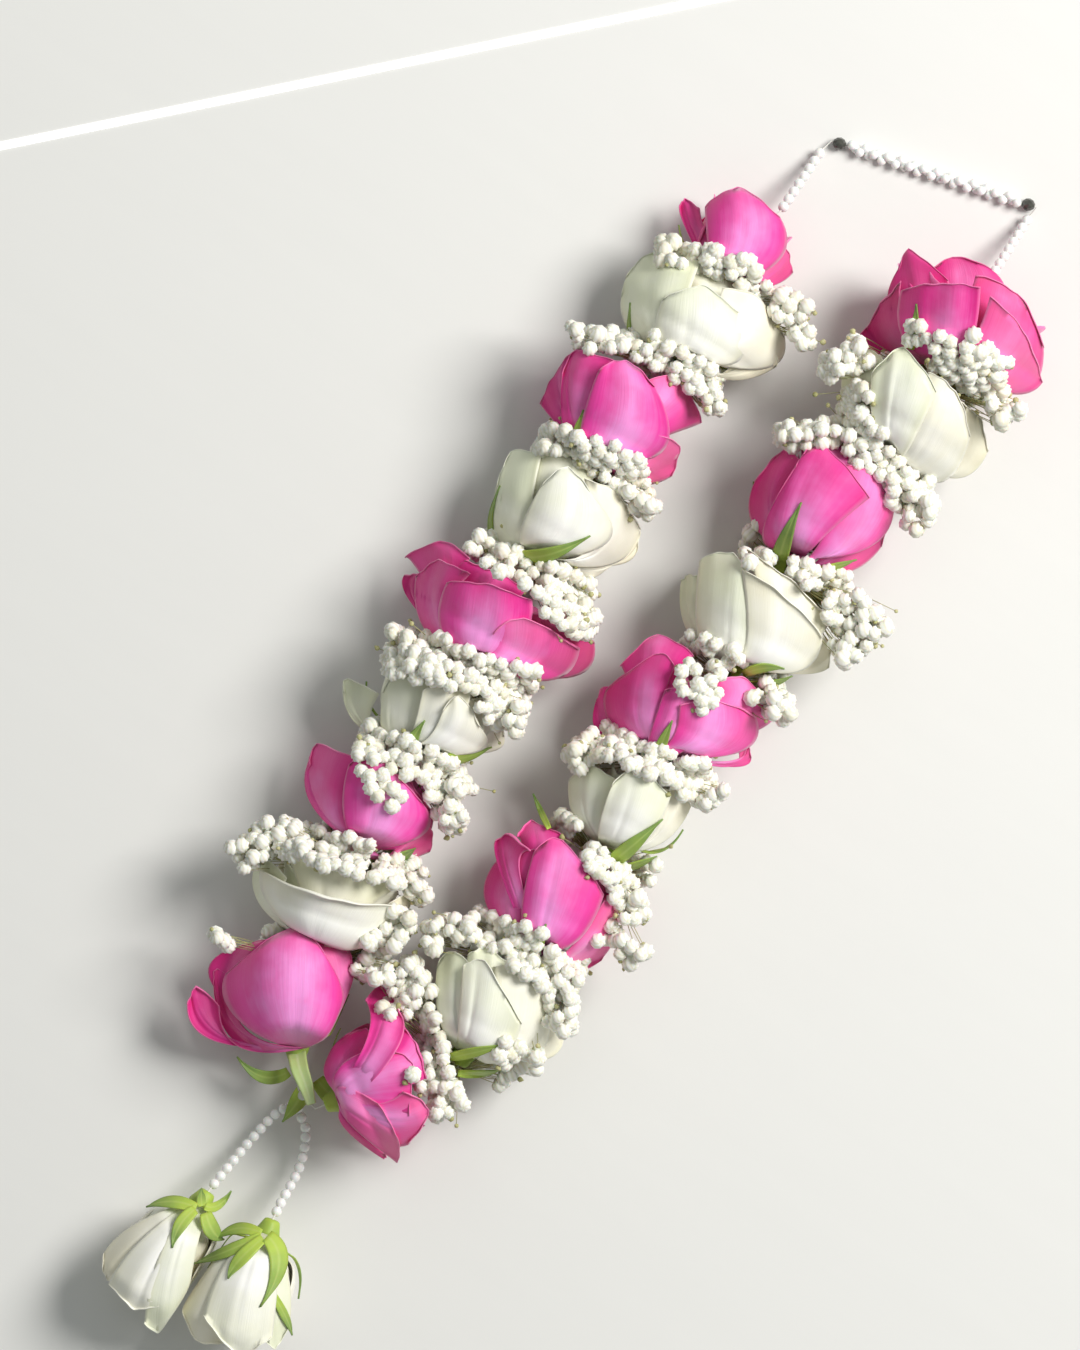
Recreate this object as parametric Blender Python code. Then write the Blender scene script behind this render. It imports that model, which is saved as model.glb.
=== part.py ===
# A flower garland lying on a flat surface: two strands of roses on one thread, gypsophila sprays between
# the roses, a neck string of pearls at the top and two pearl tassels with roses at the bottom.
# Run with blender --background --python part.py. Sizes are millimetres until a mesh is written.

import math
from random import Random

import bpy
import numpy as np
from mathutils.bvhtree import BVHTree

MM = 0.001
UP = np.array((0.0, 0.0, 1.0))

# The middle of the garland's box in the plan below, which becomes the origin.
PLAN_CENTRE = (-4.72, 6.6)

# Thread and bores
THREAD_RADIUS = 0.4
THREAD_SIDES = 3
KNOT_RADIUS = 2.0
END_KNOT_RADIUS = 1.6
BORE_RADIUS = 1.1
GAP = 0.35

# Calyx: a hip with a bore, and a sepal from each of its sides, which lies along the petals
HIP_STATIONS = ((0.0, 3.2), (4.6, 6.0), (8.0, 5.0))
SEPAL_COUNT = 5
SEPAL_WIDTH = 5.4
SEPAL_HALF = 0.5
SEPAL_LIFT = 2.6
SEPAL_REACH = 0.60

# Bloom: a small core, an inner and an outer ring of petals
CORE_RADIUS = 6.4
CORE_SIDES = 4
CORE_TOP = 14.5
PETAL_HALF = 0.6
OUTER_PETALS = 4
INNER_PETALS = 3
OUTER_COLUMNS = 4
INNER_COLUMNS = 3
OUTER_ROWS = 3
INNER_ROWS = 2
OUTER_SPREAD = 62.0
INNER_SPREAD = 78.0
SPIRAL = 2.1
INNER_SHARE = 0.58
FLOOR_PRESS = 2.4
TUCK_LIFT = 1.8

# Sprays: a hub round the thread, with a stem and a floret from each of its sides
HUB_RADIUS = 3.6
HUB_HEIGHT = 1.6
STEM_RADIUS = 0.7
FLORET_RADIUS = 4.3
FLORETS = 9
SPRAY_CLEARANCE = 0.5
TRAIL_FLORETS = 3

# Pearls and beads
SMALL_PEARL = 4.0
BAR_PEARL = 5.0
DARK_BEAD = 5.0
PEARL_SIDES = 5
PEARL_BORE = 0.85
PEARL_WAIST = 0.78
STRING_HEIGHT = 2.7

PINK = (0.80, 0.05, 0.32)
WHITE = (0.86, 0.84, 0.74)

# Each rose: colour, where its base is in plan, the way its axis points (degrees left of +Y), its height,
# its radius, how far it has opened (0 bud, 1 wide) and the turn of its petals in degrees.
ROSES = {
    "l1": (PINK, -45.1, 172.4, 8, 38.0, 21.0, 0.15, 20),
    "l2": (WHITE, -43.4, 141.0, 3, 33.0, 29.0, 0.35, 50),
    "l3": (PINK, -50.1, 90.8, 4, 38.0, 27.0, 0.60, 5),
    "l4": (WHITE, -46.8, 48.5, 2, 38.0, 27.0, 0.30, 35),
    "l5": (PINK, -44.5, 3.0, 4, 38.0, 30.0, 0.95, 90),
    "l6": (WHITE, -43.9, -36.6, 8, 38.0, 27.5, 0.50, 15),
    "l7": (PINK, -39.1, -77.7, 16, 40.0, 25.0, 0.35, 80),
    "l8": (WHITE, -32.6, -116.7, 16, 37.0, 27.0, 0.60, 40),
    "l9": (PINK, -17.0, -153.8, 31, 43.0, 24.5, 0.05, 0),
    "r1": (PINK, 41.5, 190.7, 9, 40.0, 31.5, 0.95, 30),
    "r2": (WHITE, 42.6, 155.7, 4, 34.0, 28.5, 0.45, 75),
    "r3": (PINK, 34.0, 102.4, 2, 41.0, 26.0, 0.35, 10),
    "r4": (WHITE, 38.6, 56.8, 10, 40.0, 28.5, 0.65, 55),
    "r5": (PINK, 32.6, 13.1, 6, 40.0, 28.0, 0.40, 25),
    "r6": (WHITE, 36.9, -27.5, 8, 39.0, 24.5, 0.30, 65),
    "r7": (PINK, 35.5, -72.4, 12, 42.0, 26.0, 0.35, 45),
    "r8": (WHITE, 34.6, -121.2, 8, 42.0, 25.0, 0.35, 5),
    "r9": (PINK, 1.0, -161.2, -35, 34.0, 27.0, 0.80, 85),
    "tassel_left": (WHITE, -17.5, -213.5, 180, 45.0, 20.5, 0.45, 30),
    "tassel_right": (WHITE, 8.5, -208.5, -168, 45.0, 21.0, 0.45, 70),
}
LEFT = ["l%d" % i for i in range(1, 10)]
RIGHT = ["r%d" % i for i in range(1, 10)]
TASSELS = ["tassel_left", "tassel_right"]
TASSEL_RAISE = {"tassel_right": 3.0}

# Where two roses lie side by side they are pressed flat: a point in plan and the side's direction there.
PRESSES = {
    "l9": ((-7.8, -158.1), (-0.985, -0.17)),
    "r9": ((-7.0, -158.1), (0.985, 0.17)),
    "tassel_left": ((-3.0, -235.0), (-1.0, 0.0)),
    "tassel_right": ((-2.2, -235.0), (1.0, 0.0)),
}

# Routes in plan with a height: the knot under the lowest roses, the neck string and the tassel strings
KNOT = (-8.0, -163.5, 17.0)
LEG_LEFT = ((-41.6, 213.5, 17.5), (-41.4, 242.6, STRING_HEIGHT))
LEG_RIGHT = ((38.2, 234.0, 21.0), (37.9, 264.6, STRING_HEIGHT))
BAR = ((-37.2, 248.0, STRING_HEIGHT), (35.1, 268.2, STRING_HEIGHT))
TASSEL_ROUTES = {
    "tassel_left": (
        (-9.3, -166.8, 14.6), (-9.5, -169.2, 13.8), (-12.8, -176.5, 11.2), (-15.0, -190.0, 9.5),
        (-16.9, -206.5, 14.5)),
    "tassel_right": (
        (-6.7, -166.8, 14.6), (-6.2, -169.2, 13.9), (0.8, -174.8, 12.0), (6.0, -187.0, 10.0),
        (7.6, -202.0, 16.5)),
}

# The lowest left rose keeps a strap of pale stem, which lies over the knot.
STRAP = ((-18.6, -150.9, 25.6), (-14.5, -154.8, 29.8), (-9.0, -158.8, 31.0), (-3.4, -163.6, 29.5))
STRAP_WIDTH = (7.0, 6.6, 5.4, 4.0)
STRAP_HALF = 0.6

# Sprays: for each groove, the rose below and the rose above. Beside three white roses the florets run on
# from one groove to the next, along the side at that azimuth, and the two grooves share a spray.
TRAILS = {"l8": -80, "r8": -80, "r2": -75}
GROOVES = [pair for strand in (LEFT, RIGHT) for pair in zip(strand[1:], strand[:-1])]


def unit(vector):
    return vector / np.linalg.norm(vector)


def start_empty():
    # Removes what the scene holds, with meshes and materials that nothing uses any more.
    for item in list(bpy.data.objects):
        bpy.data.objects.remove(item)
    for mesh in list(bpy.data.meshes):
        bpy.data.meshes.remove(mesh)


def material(name, colour, roughness):
    found = bpy.data.materials.get(name)
    if found:
        return found
    made = bpy.data.materials.new(name)
    made.use_nodes = True
    shader = made.node_tree.nodes["Principled BSDF"]
    shader.inputs["Base Color"].default_value = (*colour, 1.0)
    shader.inputs["Roughness"].default_value = roughness
    shader.inputs["Metallic"].default_value = 0.0
    return made


class Frame:
    # A rose's own frame: base point, axis, the side that faces up and the side to its right.
    def __init__(self, name, axis_height, rise):
        colour, x, y, heading, height, radius, opening, turn = ROSES[name]
        self.name = name
        self.colour = colour
        self.height = height
        self.radius = radius
        self.opening = opening
        self.turn = math.radians(turn)
        angle = math.radians(heading)
        self.base = np.array((x, y, axis_height))
        self.axis = unit(np.array((-math.sin(angle), math.cos(angle), rise)))
        self.up = unit(UP - self.axis * self.axis[2])
        self.side = np.cross(self.axis, self.up)

    def place(self, azimuth, rho, along):
        # World points of cylindrical points: azimuth 0 faces up, 90 degrees lies to the axis' right.
        azimuth, rho, along = np.broadcast_arrays(azimuth, rho, along)
        return (
            self.base
            + (rho * np.cos(azimuth))[..., None] * self.up
            + (rho * np.sin(azimuth))[..., None] * self.side
            + along[..., None] * self.axis
        )

    def point(self, along):
        return self.base + self.axis * along


def axis_height(name):
    return ROSES[name][5] - FLOOR_PRESS + TASSEL_RAISE.get(name, 0.0)


def make_frames():
    # Every axis climbs or falls to the height of the next rose on its strand.
    frames = {}
    for strand in (LEFT, RIGHT):
        for i, name in enumerate(strand):
            upper = strand[max(i - 1, 0)]
            rise = (axis_height(upper) - axis_height(name)) / ROSES[name][4]
            frames[name] = Frame(name, axis_height(name), rise)
    for name in TASSELS:
        frames[name] = Frame(name, axis_height(name), 0.0)
    return frames


def bezier(t, *stops):
    a, b, c, d = (np.array(stop, float) for stop in stops)
    t = np.asarray(t)[..., None]
    return a * (1 - t) ** 3 + 3 * b * t * (1 - t) ** 2 + 3 * c * t**2 * (1 - t) + d * t**3


def outer_profile(frame, t):
    # Radius and height of the outer petals' middle line: out along the hip, round the belly, up to the rim.
    radius, height, opening = frame.radius, frame.height, frame.opening
    return bezier(
        t,
        (3.2, 10.6),
        (0.80 * radius, 9.2),
        ((1.04 - 0.10 * opening) * radius, 0.44 * height),
        ((0.72 + 0.40 * opening) * radius, (1.0 - 0.06 * opening) * height),
    )


def inner_profile(frame, t):
    radius, height = frame.radius * INNER_SHARE, frame.height
    return bezier(
        t,
        (3.2, 13.0),
        (0.95 * radius, 12.0),
        (1.10 * radius, 0.50 * height),
        (0.78 * radius, 0.86 * height),
    )


def belly(frame, along):
    # Radius of the outer petals' outside at a distance along the axis.
    line = outer_profile(frame, np.linspace(0, 1, 60))
    return float(np.interp(along, line[:, 1], line[:, 0])) + PETAL_HALF


def pressing_planes(name):
    # Origin and direction of the side plane where a neighbour presses on a rose, if it has one.
    if name not in PRESSES:
        return []
    (x, y), (nx, ny) = PRESSES[name]
    return [(np.array((x, y, 0.0)), unit(np.array((nx, ny, 0.0))))]


def press(points, normals, half, level, name):
    # Keeps points on or above the surface, and on their own side of a neighbour that presses on them.
    # Pressed points face the plane, so that skin lies flat on it.
    pressed = np.zeros(points.shape[:-1], bool)
    for origin, direction in [(np.zeros(3), UP)] + pressing_planes(name):
        short = level + half - (points - origin) @ direction
        held = short > 0
        points = np.where(held[..., None], points + short[..., None] * direction, points)
        normals = np.where(held[..., None], -direction, normals)
        pressed |= held
    return points, normals, pressed


def grid_normals(points):
    across = np.gradient(points, axis=0)
    along = np.gradient(points, axis=1)
    normal = np.cross(across, along)
    return normal / np.maximum(np.linalg.norm(normal, axis=-1, keepdims=True), 1e-9)


def lens(points, normals, half, pressed):
    # A closed blade: both skins share the rim's vertices and swell by half a thickness inside it. The root
    # is one point on each skin, and a pressed rim lies flat with the outer skin.
    columns, rows = points.shape[:2]
    inside = np.zeros((columns, rows), bool)
    inside[1:-1, 1:-1] = True
    middle = columns // 2
    inside[middle, 0] = True
    front = np.arange(columns * rows).reshape(columns, rows)
    back = front.copy()
    back[inside] = columns * rows + np.arange(inside.sum())
    front[:, 0] = front[middle, 0]
    back[:, 0] = back[middle, 0]
    outside = points + normals * half * (inside | pressed)[..., None]
    vertices = np.concatenate([outside.reshape(-1, 3), (points - normals * half)[inside]])
    faces = [(front[0, 0], front[0, 1], back[0, 0]), (front[0, 0], back[0, 0], front[-1, 1])]
    for i in range(columns - 1):
        for j in range(rows - 1):
            for skin, order in ((front, 1), (back, -1)):
                a, b, c, d = skin[i, j], skin[i + 1, j], skin[i + 1, j + 1], skin[i, j + 1]
                if j:
                    faces.append((a, b, c)[::order])
                faces.append((a, c, d)[::order])
    used = sorted({v for face in faces for v in face})
    index = {v: k for k, v in enumerate(used)}
    return vertices[used], [tuple(index[v] for v in face) for face in faces]


def petal(frame, azimuth, spread, columns, rows, profile, rank, rng):
    # A cupped blade on two parameters: u from one side to the other, v from root to tip. Its sides' tops
    # are rounded off, and it spirals, so that one side tucks under its neighbour.
    u = np.linspace(-1, 1, columns + 1)[:, None]
    v = np.linspace(0, 1, rows + 1)[None, :]
    height = v * (1 - 0.20 * np.abs(u) ** 2.2 * v)
    width = 0.20 + 0.80 * np.sin(np.clip(height / 0.75, 0, 1) * math.pi / 2)
    width = width - 0.16 * np.clip((height - 0.75) / 0.25, 0, 1) ** 2
    line = profile(frame, height)
    curl = rng.uniform(0.5, 2.5) * np.clip(u, 0, 1) ** 2 * height**3
    wave = rng.uniform(0.2, 0.6) * np.sin(3.1 * u + rng.uniform(0, 6.28)) * height**3
    rho = line[..., 0] + SPIRAL * u * np.clip(height * 3, 0, 1) + curl + wave
    theta = azimuth + u * spread * width
    points = frame.place(theta, rho, line[..., 1])
    tucked = np.clip((-u - 0.25) / 0.75, 0, 1) * np.ones_like(height)
    level = TUCK_LIFT * tucked + rank * (2 * PETAL_HALF + 1.0)
    points, normals, pressed = press(points, grid_normals(points), PETAL_HALF, level, frame.name)
    return lens(points, normals, PETAL_HALF, pressed)


def transport(path):
    # Directions along a path, with two cross axes that turn as little as they can.
    path = np.asarray(path, float)
    tangents = np.gradient(path, axis=0)
    tangents /= np.linalg.norm(tangents, axis=1, keepdims=True)
    first = np.cross(tangents[0], UP if abs(tangents[0][2]) < 0.9 else np.array((1.0, 0, 0)))
    sides = [unit(first)]
    for tangent in tangents[1:]:
        sides.append(unit(sides[-1] - tangent * (sides[-1] @ tangent)))
    sides = np.array(sides)
    return path, sides, np.cross(tangents, sides)


def rings(path, radii, sides):
    path, first, second = transport(path)
    angles = np.arange(sides) * 2 * math.pi / sides
    spokes = np.cos(angles)[None, :, None] * first[:, None] + np.sin(angles)[None, :, None] * second[:, None]
    return path[:, None] + spokes * np.asarray(radii, float)[:, None, None]


def wall(ring_a, ring_b):
    n = len(ring_a)
    faces = []
    for k in range(n):
        m = (k + 1) % n
        faces.append((ring_a[k], ring_a[m], ring_b[m]))
        faces.append((ring_a[k], ring_b[m], ring_b[k]))
    return faces


def rod(path, radii, sides):
    # A closed rod along a path, with a fan at each end.
    loops = rings(path, radii, sides)
    count = len(loops)
    vertices = loops.reshape(-1, 3)
    index = np.arange(count * sides).reshape(count, sides)
    faces = []
    for a, b in zip(index[:-1], index[1:]):
        faces += wall(a, b)
    faces += [(index[0][0], index[0][k + 1], index[0][k]) for k in range(1, sides - 1)]
    faces += [(index[-1][0], index[-1][k], index[-1][k + 1]) for k in range(1, sides - 1)]
    return vertices, faces


def sleeve(path, radii, bore_path, bore, sides):
    # A closed rod along a path with a plain bore through it.
    outside = rings(path, radii, sides)
    inside = rings(bore_path, [bore] * len(bore_path), sides)
    vertices = np.concatenate([outside.reshape(-1, 3), inside.reshape(-1, 3)])
    outer = np.arange(len(outside) * sides).reshape(-1, sides)
    inner = len(outside) * sides + np.arange(len(inside) * sides).reshape(-1, sides)
    faces = []
    for a, b in zip(outer[:-1], outer[1:]):
        faces += wall(a, b)
    for a, b in zip(inner[:-1], inner[1:]):
        faces += wall(b, a)
    faces += wall(inner[0], outer[0])
    faces += wall(outer[-1], inner[-1])
    return vertices, faces


class Shell:
    # A closed surface made ring by ring. A limb grows from one quad of a band, as an extruded face does.
    def __init__(self):
        self.points = []
        self.faces = []

    def add(self, points):
        start = len(self.points)
        self.points += [np.asarray(p, float) for p in points]
        return list(range(start, len(self.points)))

    def band(self, a, b, limbs=()):
        n = len(a)
        for k in range(n):
            if k not in limbs:
                m = (k + 1) % n
                self.faces += [(a[k], a[m], b[m]), (a[k], b[m], b[k])]

    def limb(self, root, loops, tip):
        last = root
        for loop in loops:
            ring = self.add(loop)
            self.band(last, ring)
            last = ring
        point = self.add([tip])[0]
        for k in range(4):
            self.faces.append((last[k], last[(k + 1) % 4], point))

    def solid(self):
        return np.array(self.points), self.faces


def square(centre, across, inward, half_width, half_depth):
    # The corners of a limb's ring, in the order of the quad that it grows from.
    return [
        centre - across * half_width - inward * half_depth,
        centre + across * half_width - inward * half_depth,
        centre + across * half_width + inward * half_depth,
        centre - across * half_width + inward * half_depth,
    ]


def bored_hub(shell, frame, stations, sides, turn, limbs):
    # Rings round the axis from bottom to top, closed by a bore. The last band leaves its quads to limbs.
    azimuths = turn + 2 * math.pi * np.arange(sides) / sides
    outer = [shell.add(frame.place(azimuths, rho, along)) for along, rho in stations]
    inner = [shell.add(frame.place(azimuths, BORE_RADIUS, s[0])) for s in (stations[0], stations[-1])]
    for k, (a, b) in enumerate(zip(outer[:-1], outer[1:])):
        shell.band(a, b, limbs if k == len(stations) - 2 else ())
    shell.band(inner[0], outer[0])
    shell.band(outer[-1], inner[-1])
    shell.band(inner[-1], inner[0])
    low, high = outer[-2], outer[-1]
    roots = []
    for k in limbs:
        m = (k + 1) % sides
        roots.append((low[k], low[m], high[m], high[k]))
    middles = azimuths + math.pi / sides
    return roots, middles


def ball(centre, radius, sides=6):
    heights = (-0.92, -0.35, 0.35, 0.92)
    path = [np.asarray(centre, float) + UP * radius * h for h in heights]
    return rod(path, [radius * math.sqrt(1 - h * h) for h in heights], sides)


def mesh_object(name, solid, paint):
    vertices, faces = solid
    shift = np.array((PLAN_CENTRE[0], PLAN_CENTRE[1], 0.0))
    mesh = bpy.data.meshes.new(name)
    mesh.from_pydata(((np.asarray(vertices) - shift) * MM).tolist(), [], [tuple(map(int, f)) for f in faces])
    mesh.materials.append(paint)
    made = bpy.data.objects.new(name, mesh)
    bpy.context.scene.collection.objects.link(made)
    return made


def fused(name, base, repeats, paint):
    # Joins repeats to the base solid in one union, and removes the repeats.
    made = mesh_object(name, base, paint)
    group = bpy.data.collections.new(name + "_repeats")
    bpy.context.scene.collection.children.link(group)
    for k, solid in enumerate(repeats):
        piece = mesh_object("%s_%d" % (name, k), solid, paint)
        bpy.context.scene.collection.objects.unlink(piece)
        group.objects.link(piece)
    join = made.modifiers.new("join", "BOOLEAN")
    join.operation = "UNION"
    join.operand_type = "COLLECTION"
    join.collection = group
    join.solver = "MANIFOLD"
    bpy.context.view_layer.update()
    evaluated = made.evaluated_get(bpy.context.evaluated_depsgraph_get())
    mesh = bpy.data.meshes.new_from_object(evaluated)
    made.modifiers.clear()
    old = made.data
    made.data = mesh
    mesh.name = name
    bpy.data.meshes.remove(old)
    for piece in list(group.objects):
        data = piece.data
        bpy.data.objects.remove(piece)
        bpy.data.meshes.remove(data)
    bpy.data.collections.remove(group)
    return made


def make_bloom(frame):
    rng = Random("petals " + frame.name)
    paint = material(
        "pink_petal" if frame.colour is PINK else "white_petal", frame.colour, 0.55
    )
    core = Shell()
    stations = ((HIP_STATIONS[-1][0] + GAP, CORE_RADIUS * 0.78), (CORE_TOP, CORE_RADIUS))
    bored_hub(core, frame, stations, CORE_SIDES, frame.turn - math.pi / CORE_SIDES, ())
    petals = []
    for count, spread, columns, rows, profile, rank, lead in (
        (OUTER_PETALS, OUTER_SPREAD, OUTER_COLUMNS, OUTER_ROWS, outer_profile, 0, 0.0),
        (INNER_PETALS, INNER_SPREAD, INNER_COLUMNS, INNER_ROWS, inner_profile, 1, 0.7),
    ):
        for k in range(count):
            azimuth = frame.turn + lead + 2 * math.pi * k / count
            petals.append(petal(frame, azimuth, math.radians(spread), columns, rows, profile, rank, rng))
    return fused("bloom_" + frame.name, core.solid(), petals, paint)


def sepal(frame, azimuth, reach):
    # Rings and tip of a pointed leaf that follows the outer petals' middle line, a little outside it.
    across = frame.place(azimuth + math.pi / 2, 1.0, 0.0) - frame.base
    stops = np.array((1 / 3, 0.5, reach))
    line = outer_profile(frame, stops)
    ahead = outer_profile(frame, stops + 0.01) - line
    outward = np.stack([ahead[:, 1], -ahead[:, 0]], axis=1)
    outward /= np.linalg.norm(outward, axis=1, keepdims=True)
    line = line + outward * (PETAL_HALF + SEPAL_LIFT)
    centres = frame.place(azimuth, line[:, 0], line[:, 1])
    inward = [frame.base - frame.place(azimuth, o[0], o[1]) for o in outward]
    loops = [
        square(centre, across, inside, SEPAL_WIDTH / 2 * share, SEPAL_HALF)
        for centre, inside, share in zip(centres[:2], inward[:2], (1.0, 0.85))
    ]
    lowest = 2 * SEPAL_HALF
    for loop in loops:
        sunk = min(corner[2] for corner in loop)
        for corner in loop:
            corner[2] += max(-sunk, 0.0)
    tip = centres[2]
    tip[2] = max(tip[2], lowest)
    return loops, tip


def strap():
    # The pale strap of stem: a thin diamond section along its route.
    path, side, _ = transport(STRAP)
    side = np.array([unit(s - UP * (s @ UP)) for s in side])
    half_width = np.array(STRAP_WIDTH)[:, None] / 2
    corners = np.stack(
        [path + side * half_width, path - UP * STRAP_HALF, path - side * half_width, path + UP * STRAP_HALF],
        axis=1,
    )
    index = np.arange(corners.size // 3).reshape(-1, 4)
    faces = []
    for a, b in zip(index[:-1], index[1:]):
        faces += wall(a, b)
    first, last = index[0], index[-1]
    faces += [(first[0], first[2], first[1]), (first[0], first[3], first[2])]
    faces += [(last[0], last[1], last[2]), (last[0], last[2], last[3])]
    return corners.reshape(-1, 3), faces


def make_calyx(frame):
    # A sepal that a neighbour's side would cross is left off.
    rng = Random("sepals " + frame.name)
    shell = Shell()
    leaves = {}
    for k in range(SEPAL_COUNT):
        azimuth = frame.turn + (k + 0.5) * 2 * math.pi / SEPAL_COUNT
        loops, tip = sepal(frame, azimuth, SEPAL_REACH + rng.uniform(-0.03, 0.08))
        points = np.array(sum(loops, []) + [tip])
        if all(((points - o) @ d).min() > GAP for o, d in pressing_planes(frame.name)):
            leaves[k] = (loops, tip)
    roots, _ = bored_hub(shell, frame, HIP_STATIONS, SEPAL_COUNT, frame.turn, list(leaves))
    for root, leaf in zip(roots, leaves.values()):
        shell.limb(root, *leaf)
    paint = material("sepal_green", (0.22, 0.36, 0.08), 0.6)
    if frame.name == "l9":
        return fused("calyx_l9", shell.solid(), [strap()], paint)
    return mesh_object("calyx_" + frame.name, shell.solid(), paint)


def surface_tree(made):
    shift = np.array((PLAN_CENTRE[0], PLAN_CENTRE[1], 0.0))
    vertices = np.array([v.co for v in made.data.vertices]) / MM + shift
    return BVHTree.FromPolygons(vertices.tolist(), [tuple(p.vertices) for p in made.data.polygons])


def is_clear(trees, points, room):
    for point in points:
        for tree in trees:
            nearest = tree.find_nearest(tuple(point), room)
            if nearest[0] is not None:
                return False
    return True


def floret_limb(start, end, across, lift):
    # A thin stem that swells into a floret of eight faces: its rings and its tip.
    direction = unit(end - start)
    across = unit(across - direction * (across @ direction))
    lift = unit(lift - direction * (lift @ direction))
    neck = square(end - direction * FLORET_RADIUS, across, lift, STEM_RADIUS, STEM_RADIUS)
    size = FLORET_RADIUS * math.sqrt(0.5)
    equator = square(end, across, lift, size, size)
    return [neck, equator], end + direction * FLORET_RADIUS


def find_floret(frame, azimuth, start, trees, placed, rng):
    # Moves a floret up the groove and outwards until it and its stem are clear of everything.
    along = (3.5, 8.5)[len(placed) % 2] + rng.uniform(-1, 1)
    rho = 17.0
    for _ in range(16):
        end = frame.place(azimuth, rho + FLORET_RADIUS, along)
        end[2] = max(end[2], FLORET_RADIUS)
        stem = [start + (end - start) * t for t in np.linspace(0.1, 0.8, 10)]
        apart = all(np.linalg.norm(end - other) > 1.9 * FLORET_RADIUS for other in placed)
        if (
            apart
            and is_clear(trees, [end], FLORET_RADIUS + SPRAY_CLEARANCE)
            and is_clear(trees, stem[:4], STEM_RADIUS + 2 * SPRAY_CLEARANCE)
            and is_clear(trees, stem[4:], STEM_RADIUS + SPRAY_CLEARANCE)
        ):
            return end
        along += 0.6
        rho += 0.8
    return None


def collar(frame, trees, placed, rng):
    # The florets of one groove, round the base of the rose above it.
    shell = Shell()
    stations = ((-GAP - HUB_HEIGHT, HUB_RADIUS), (-GAP, HUB_RADIUS))
    step = 2 * math.pi / FLORETS
    ends = []
    for k in range(FLORETS):
        azimuth = step * (k + 0.5)
        start = frame.place(azimuth, HUB_RADIUS, -GAP - HUB_HEIGHT / 2)
        end = find_floret(frame, azimuth + rng.uniform(-0.1, 0.1), start, trees, placed, rng)
        ends.append(end)
        if end is not None:
            placed.append(end)
    limbs = [k for k in range(FLORETS) if ends[k] is not None]
    roots, azimuths = bored_hub(shell, frame, stations, FLORETS, 0.0, limbs)
    for root, k in zip(roots, limbs):
        start = frame.place(azimuths[k], HUB_RADIUS, -GAP - HUB_HEIGHT / 2)
        across = frame.place(azimuths[k] + math.pi / 2, 1.0, 0.0) - frame.base
        shell.limb(root, *floret_limb(start, ends[k], across, frame.axis))
    return shell.solid()


def trail(frame, above, azimuth, trees, placed):
    # A stem with florets along the side of a rose, from the hub under it to the hub above it.
    hub_middle = -GAP - HUB_HEIGHT / 2
    radius, height = frame.radius, frame.height
    route = [
        frame.place(azimuth, HUB_RADIUS - 1.2, hub_middle),
        frame.place(azimuth, 0.55 * radius, 1.0),
        frame.place(azimuth, radius, 0.2 * height),
        frame.place(azimuth, radius + 3.0, 0.5 * height),
        frame.place(azimuth, radius + 3.0, 0.8 * height),
        above.place(azimuth, 0.8 * radius, 1.0),
        above.place(azimuth, HUB_RADIUS - 1.2, hub_middle),
    ]
    path = smooth_route(route, 11)
    outwards = [unit(p - frame.base - frame.axis * ((p - frame.base) @ frame.axis)) for p in path]
    for k in range(1, len(path) - 1):
        for _ in range(14):
            samples = [path[k - 1] + (path[k] - path[k - 1]) * t for t in (0.25, 0.5, 0.75, 1.0)]
            if is_clear(trees, samples, STEM_RADIUS + 2 * SPRAY_CLEARANCE):
                break
            path[k] = path[k] + outwards[k] * 0.8
    pieces = [rod(path, [STEM_RADIUS * 1.2] * len(path), 4)]
    for k in np.linspace(3, len(path) - 4, TRAIL_FLORETS).round().astype(int):
        end = path[k] + outwards[k] * (FLORET_RADIUS + 0.8) + UP * 1.0
        if all(np.linalg.norm(end - other) > 1.9 * FLORET_RADIUS for other in placed):
            placed.append(end)
            direction = unit(end - path[k])
            stops = (path[k], end - direction * FLORET_RADIUS * 0.9, end, end + direction * FLORET_RADIUS)
            pieces.append(rod(stops, (STEM_RADIUS, STEM_RADIUS, FLORET_RADIUS, 0.3), 4))
    return pieces


def make_sprays(frames, trees):
    # Each groove has a spray, and the trail beside a white rose joins the two next to it in one.
    paint = material("gypsophila", (0.84, 0.82, 0.72), 0.7)
    trees = list(trees.values())
    done = set()
    for low, high in GROOVES:
        if low in TRAILS or high in TRAILS:
            rose = low if low in TRAILS else high
            if rose in done:
                continue
            done.add(rose)
            pairs = [pair for pair in GROOVES if rose in pair]
            above = next(high for low, high in pairs if low == rose)
            below = next(low for low, high in pairs if high == rose)
            rng = Random("florets " + rose)
            placed = []
            collars = [collar(frames[rose], trees, placed, rng), collar(frames[above], trees, placed, rng)]
            azimuth = math.radians(TRAILS[rose])
            pieces = trail(frames[rose], frames[above], azimuth, trees, placed)
            made = fused("spray_%s_%s_%s" % (below, rose, above), collars[0], collars[1:] + pieces, paint)
        else:
            rng = Random("florets %s %s" % (low, high))
            made = mesh_object("spray_%s_%s" % (low, high), collar(frames[high], trees, [], rng), paint)
        trees.append(surface_tree(made))


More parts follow.
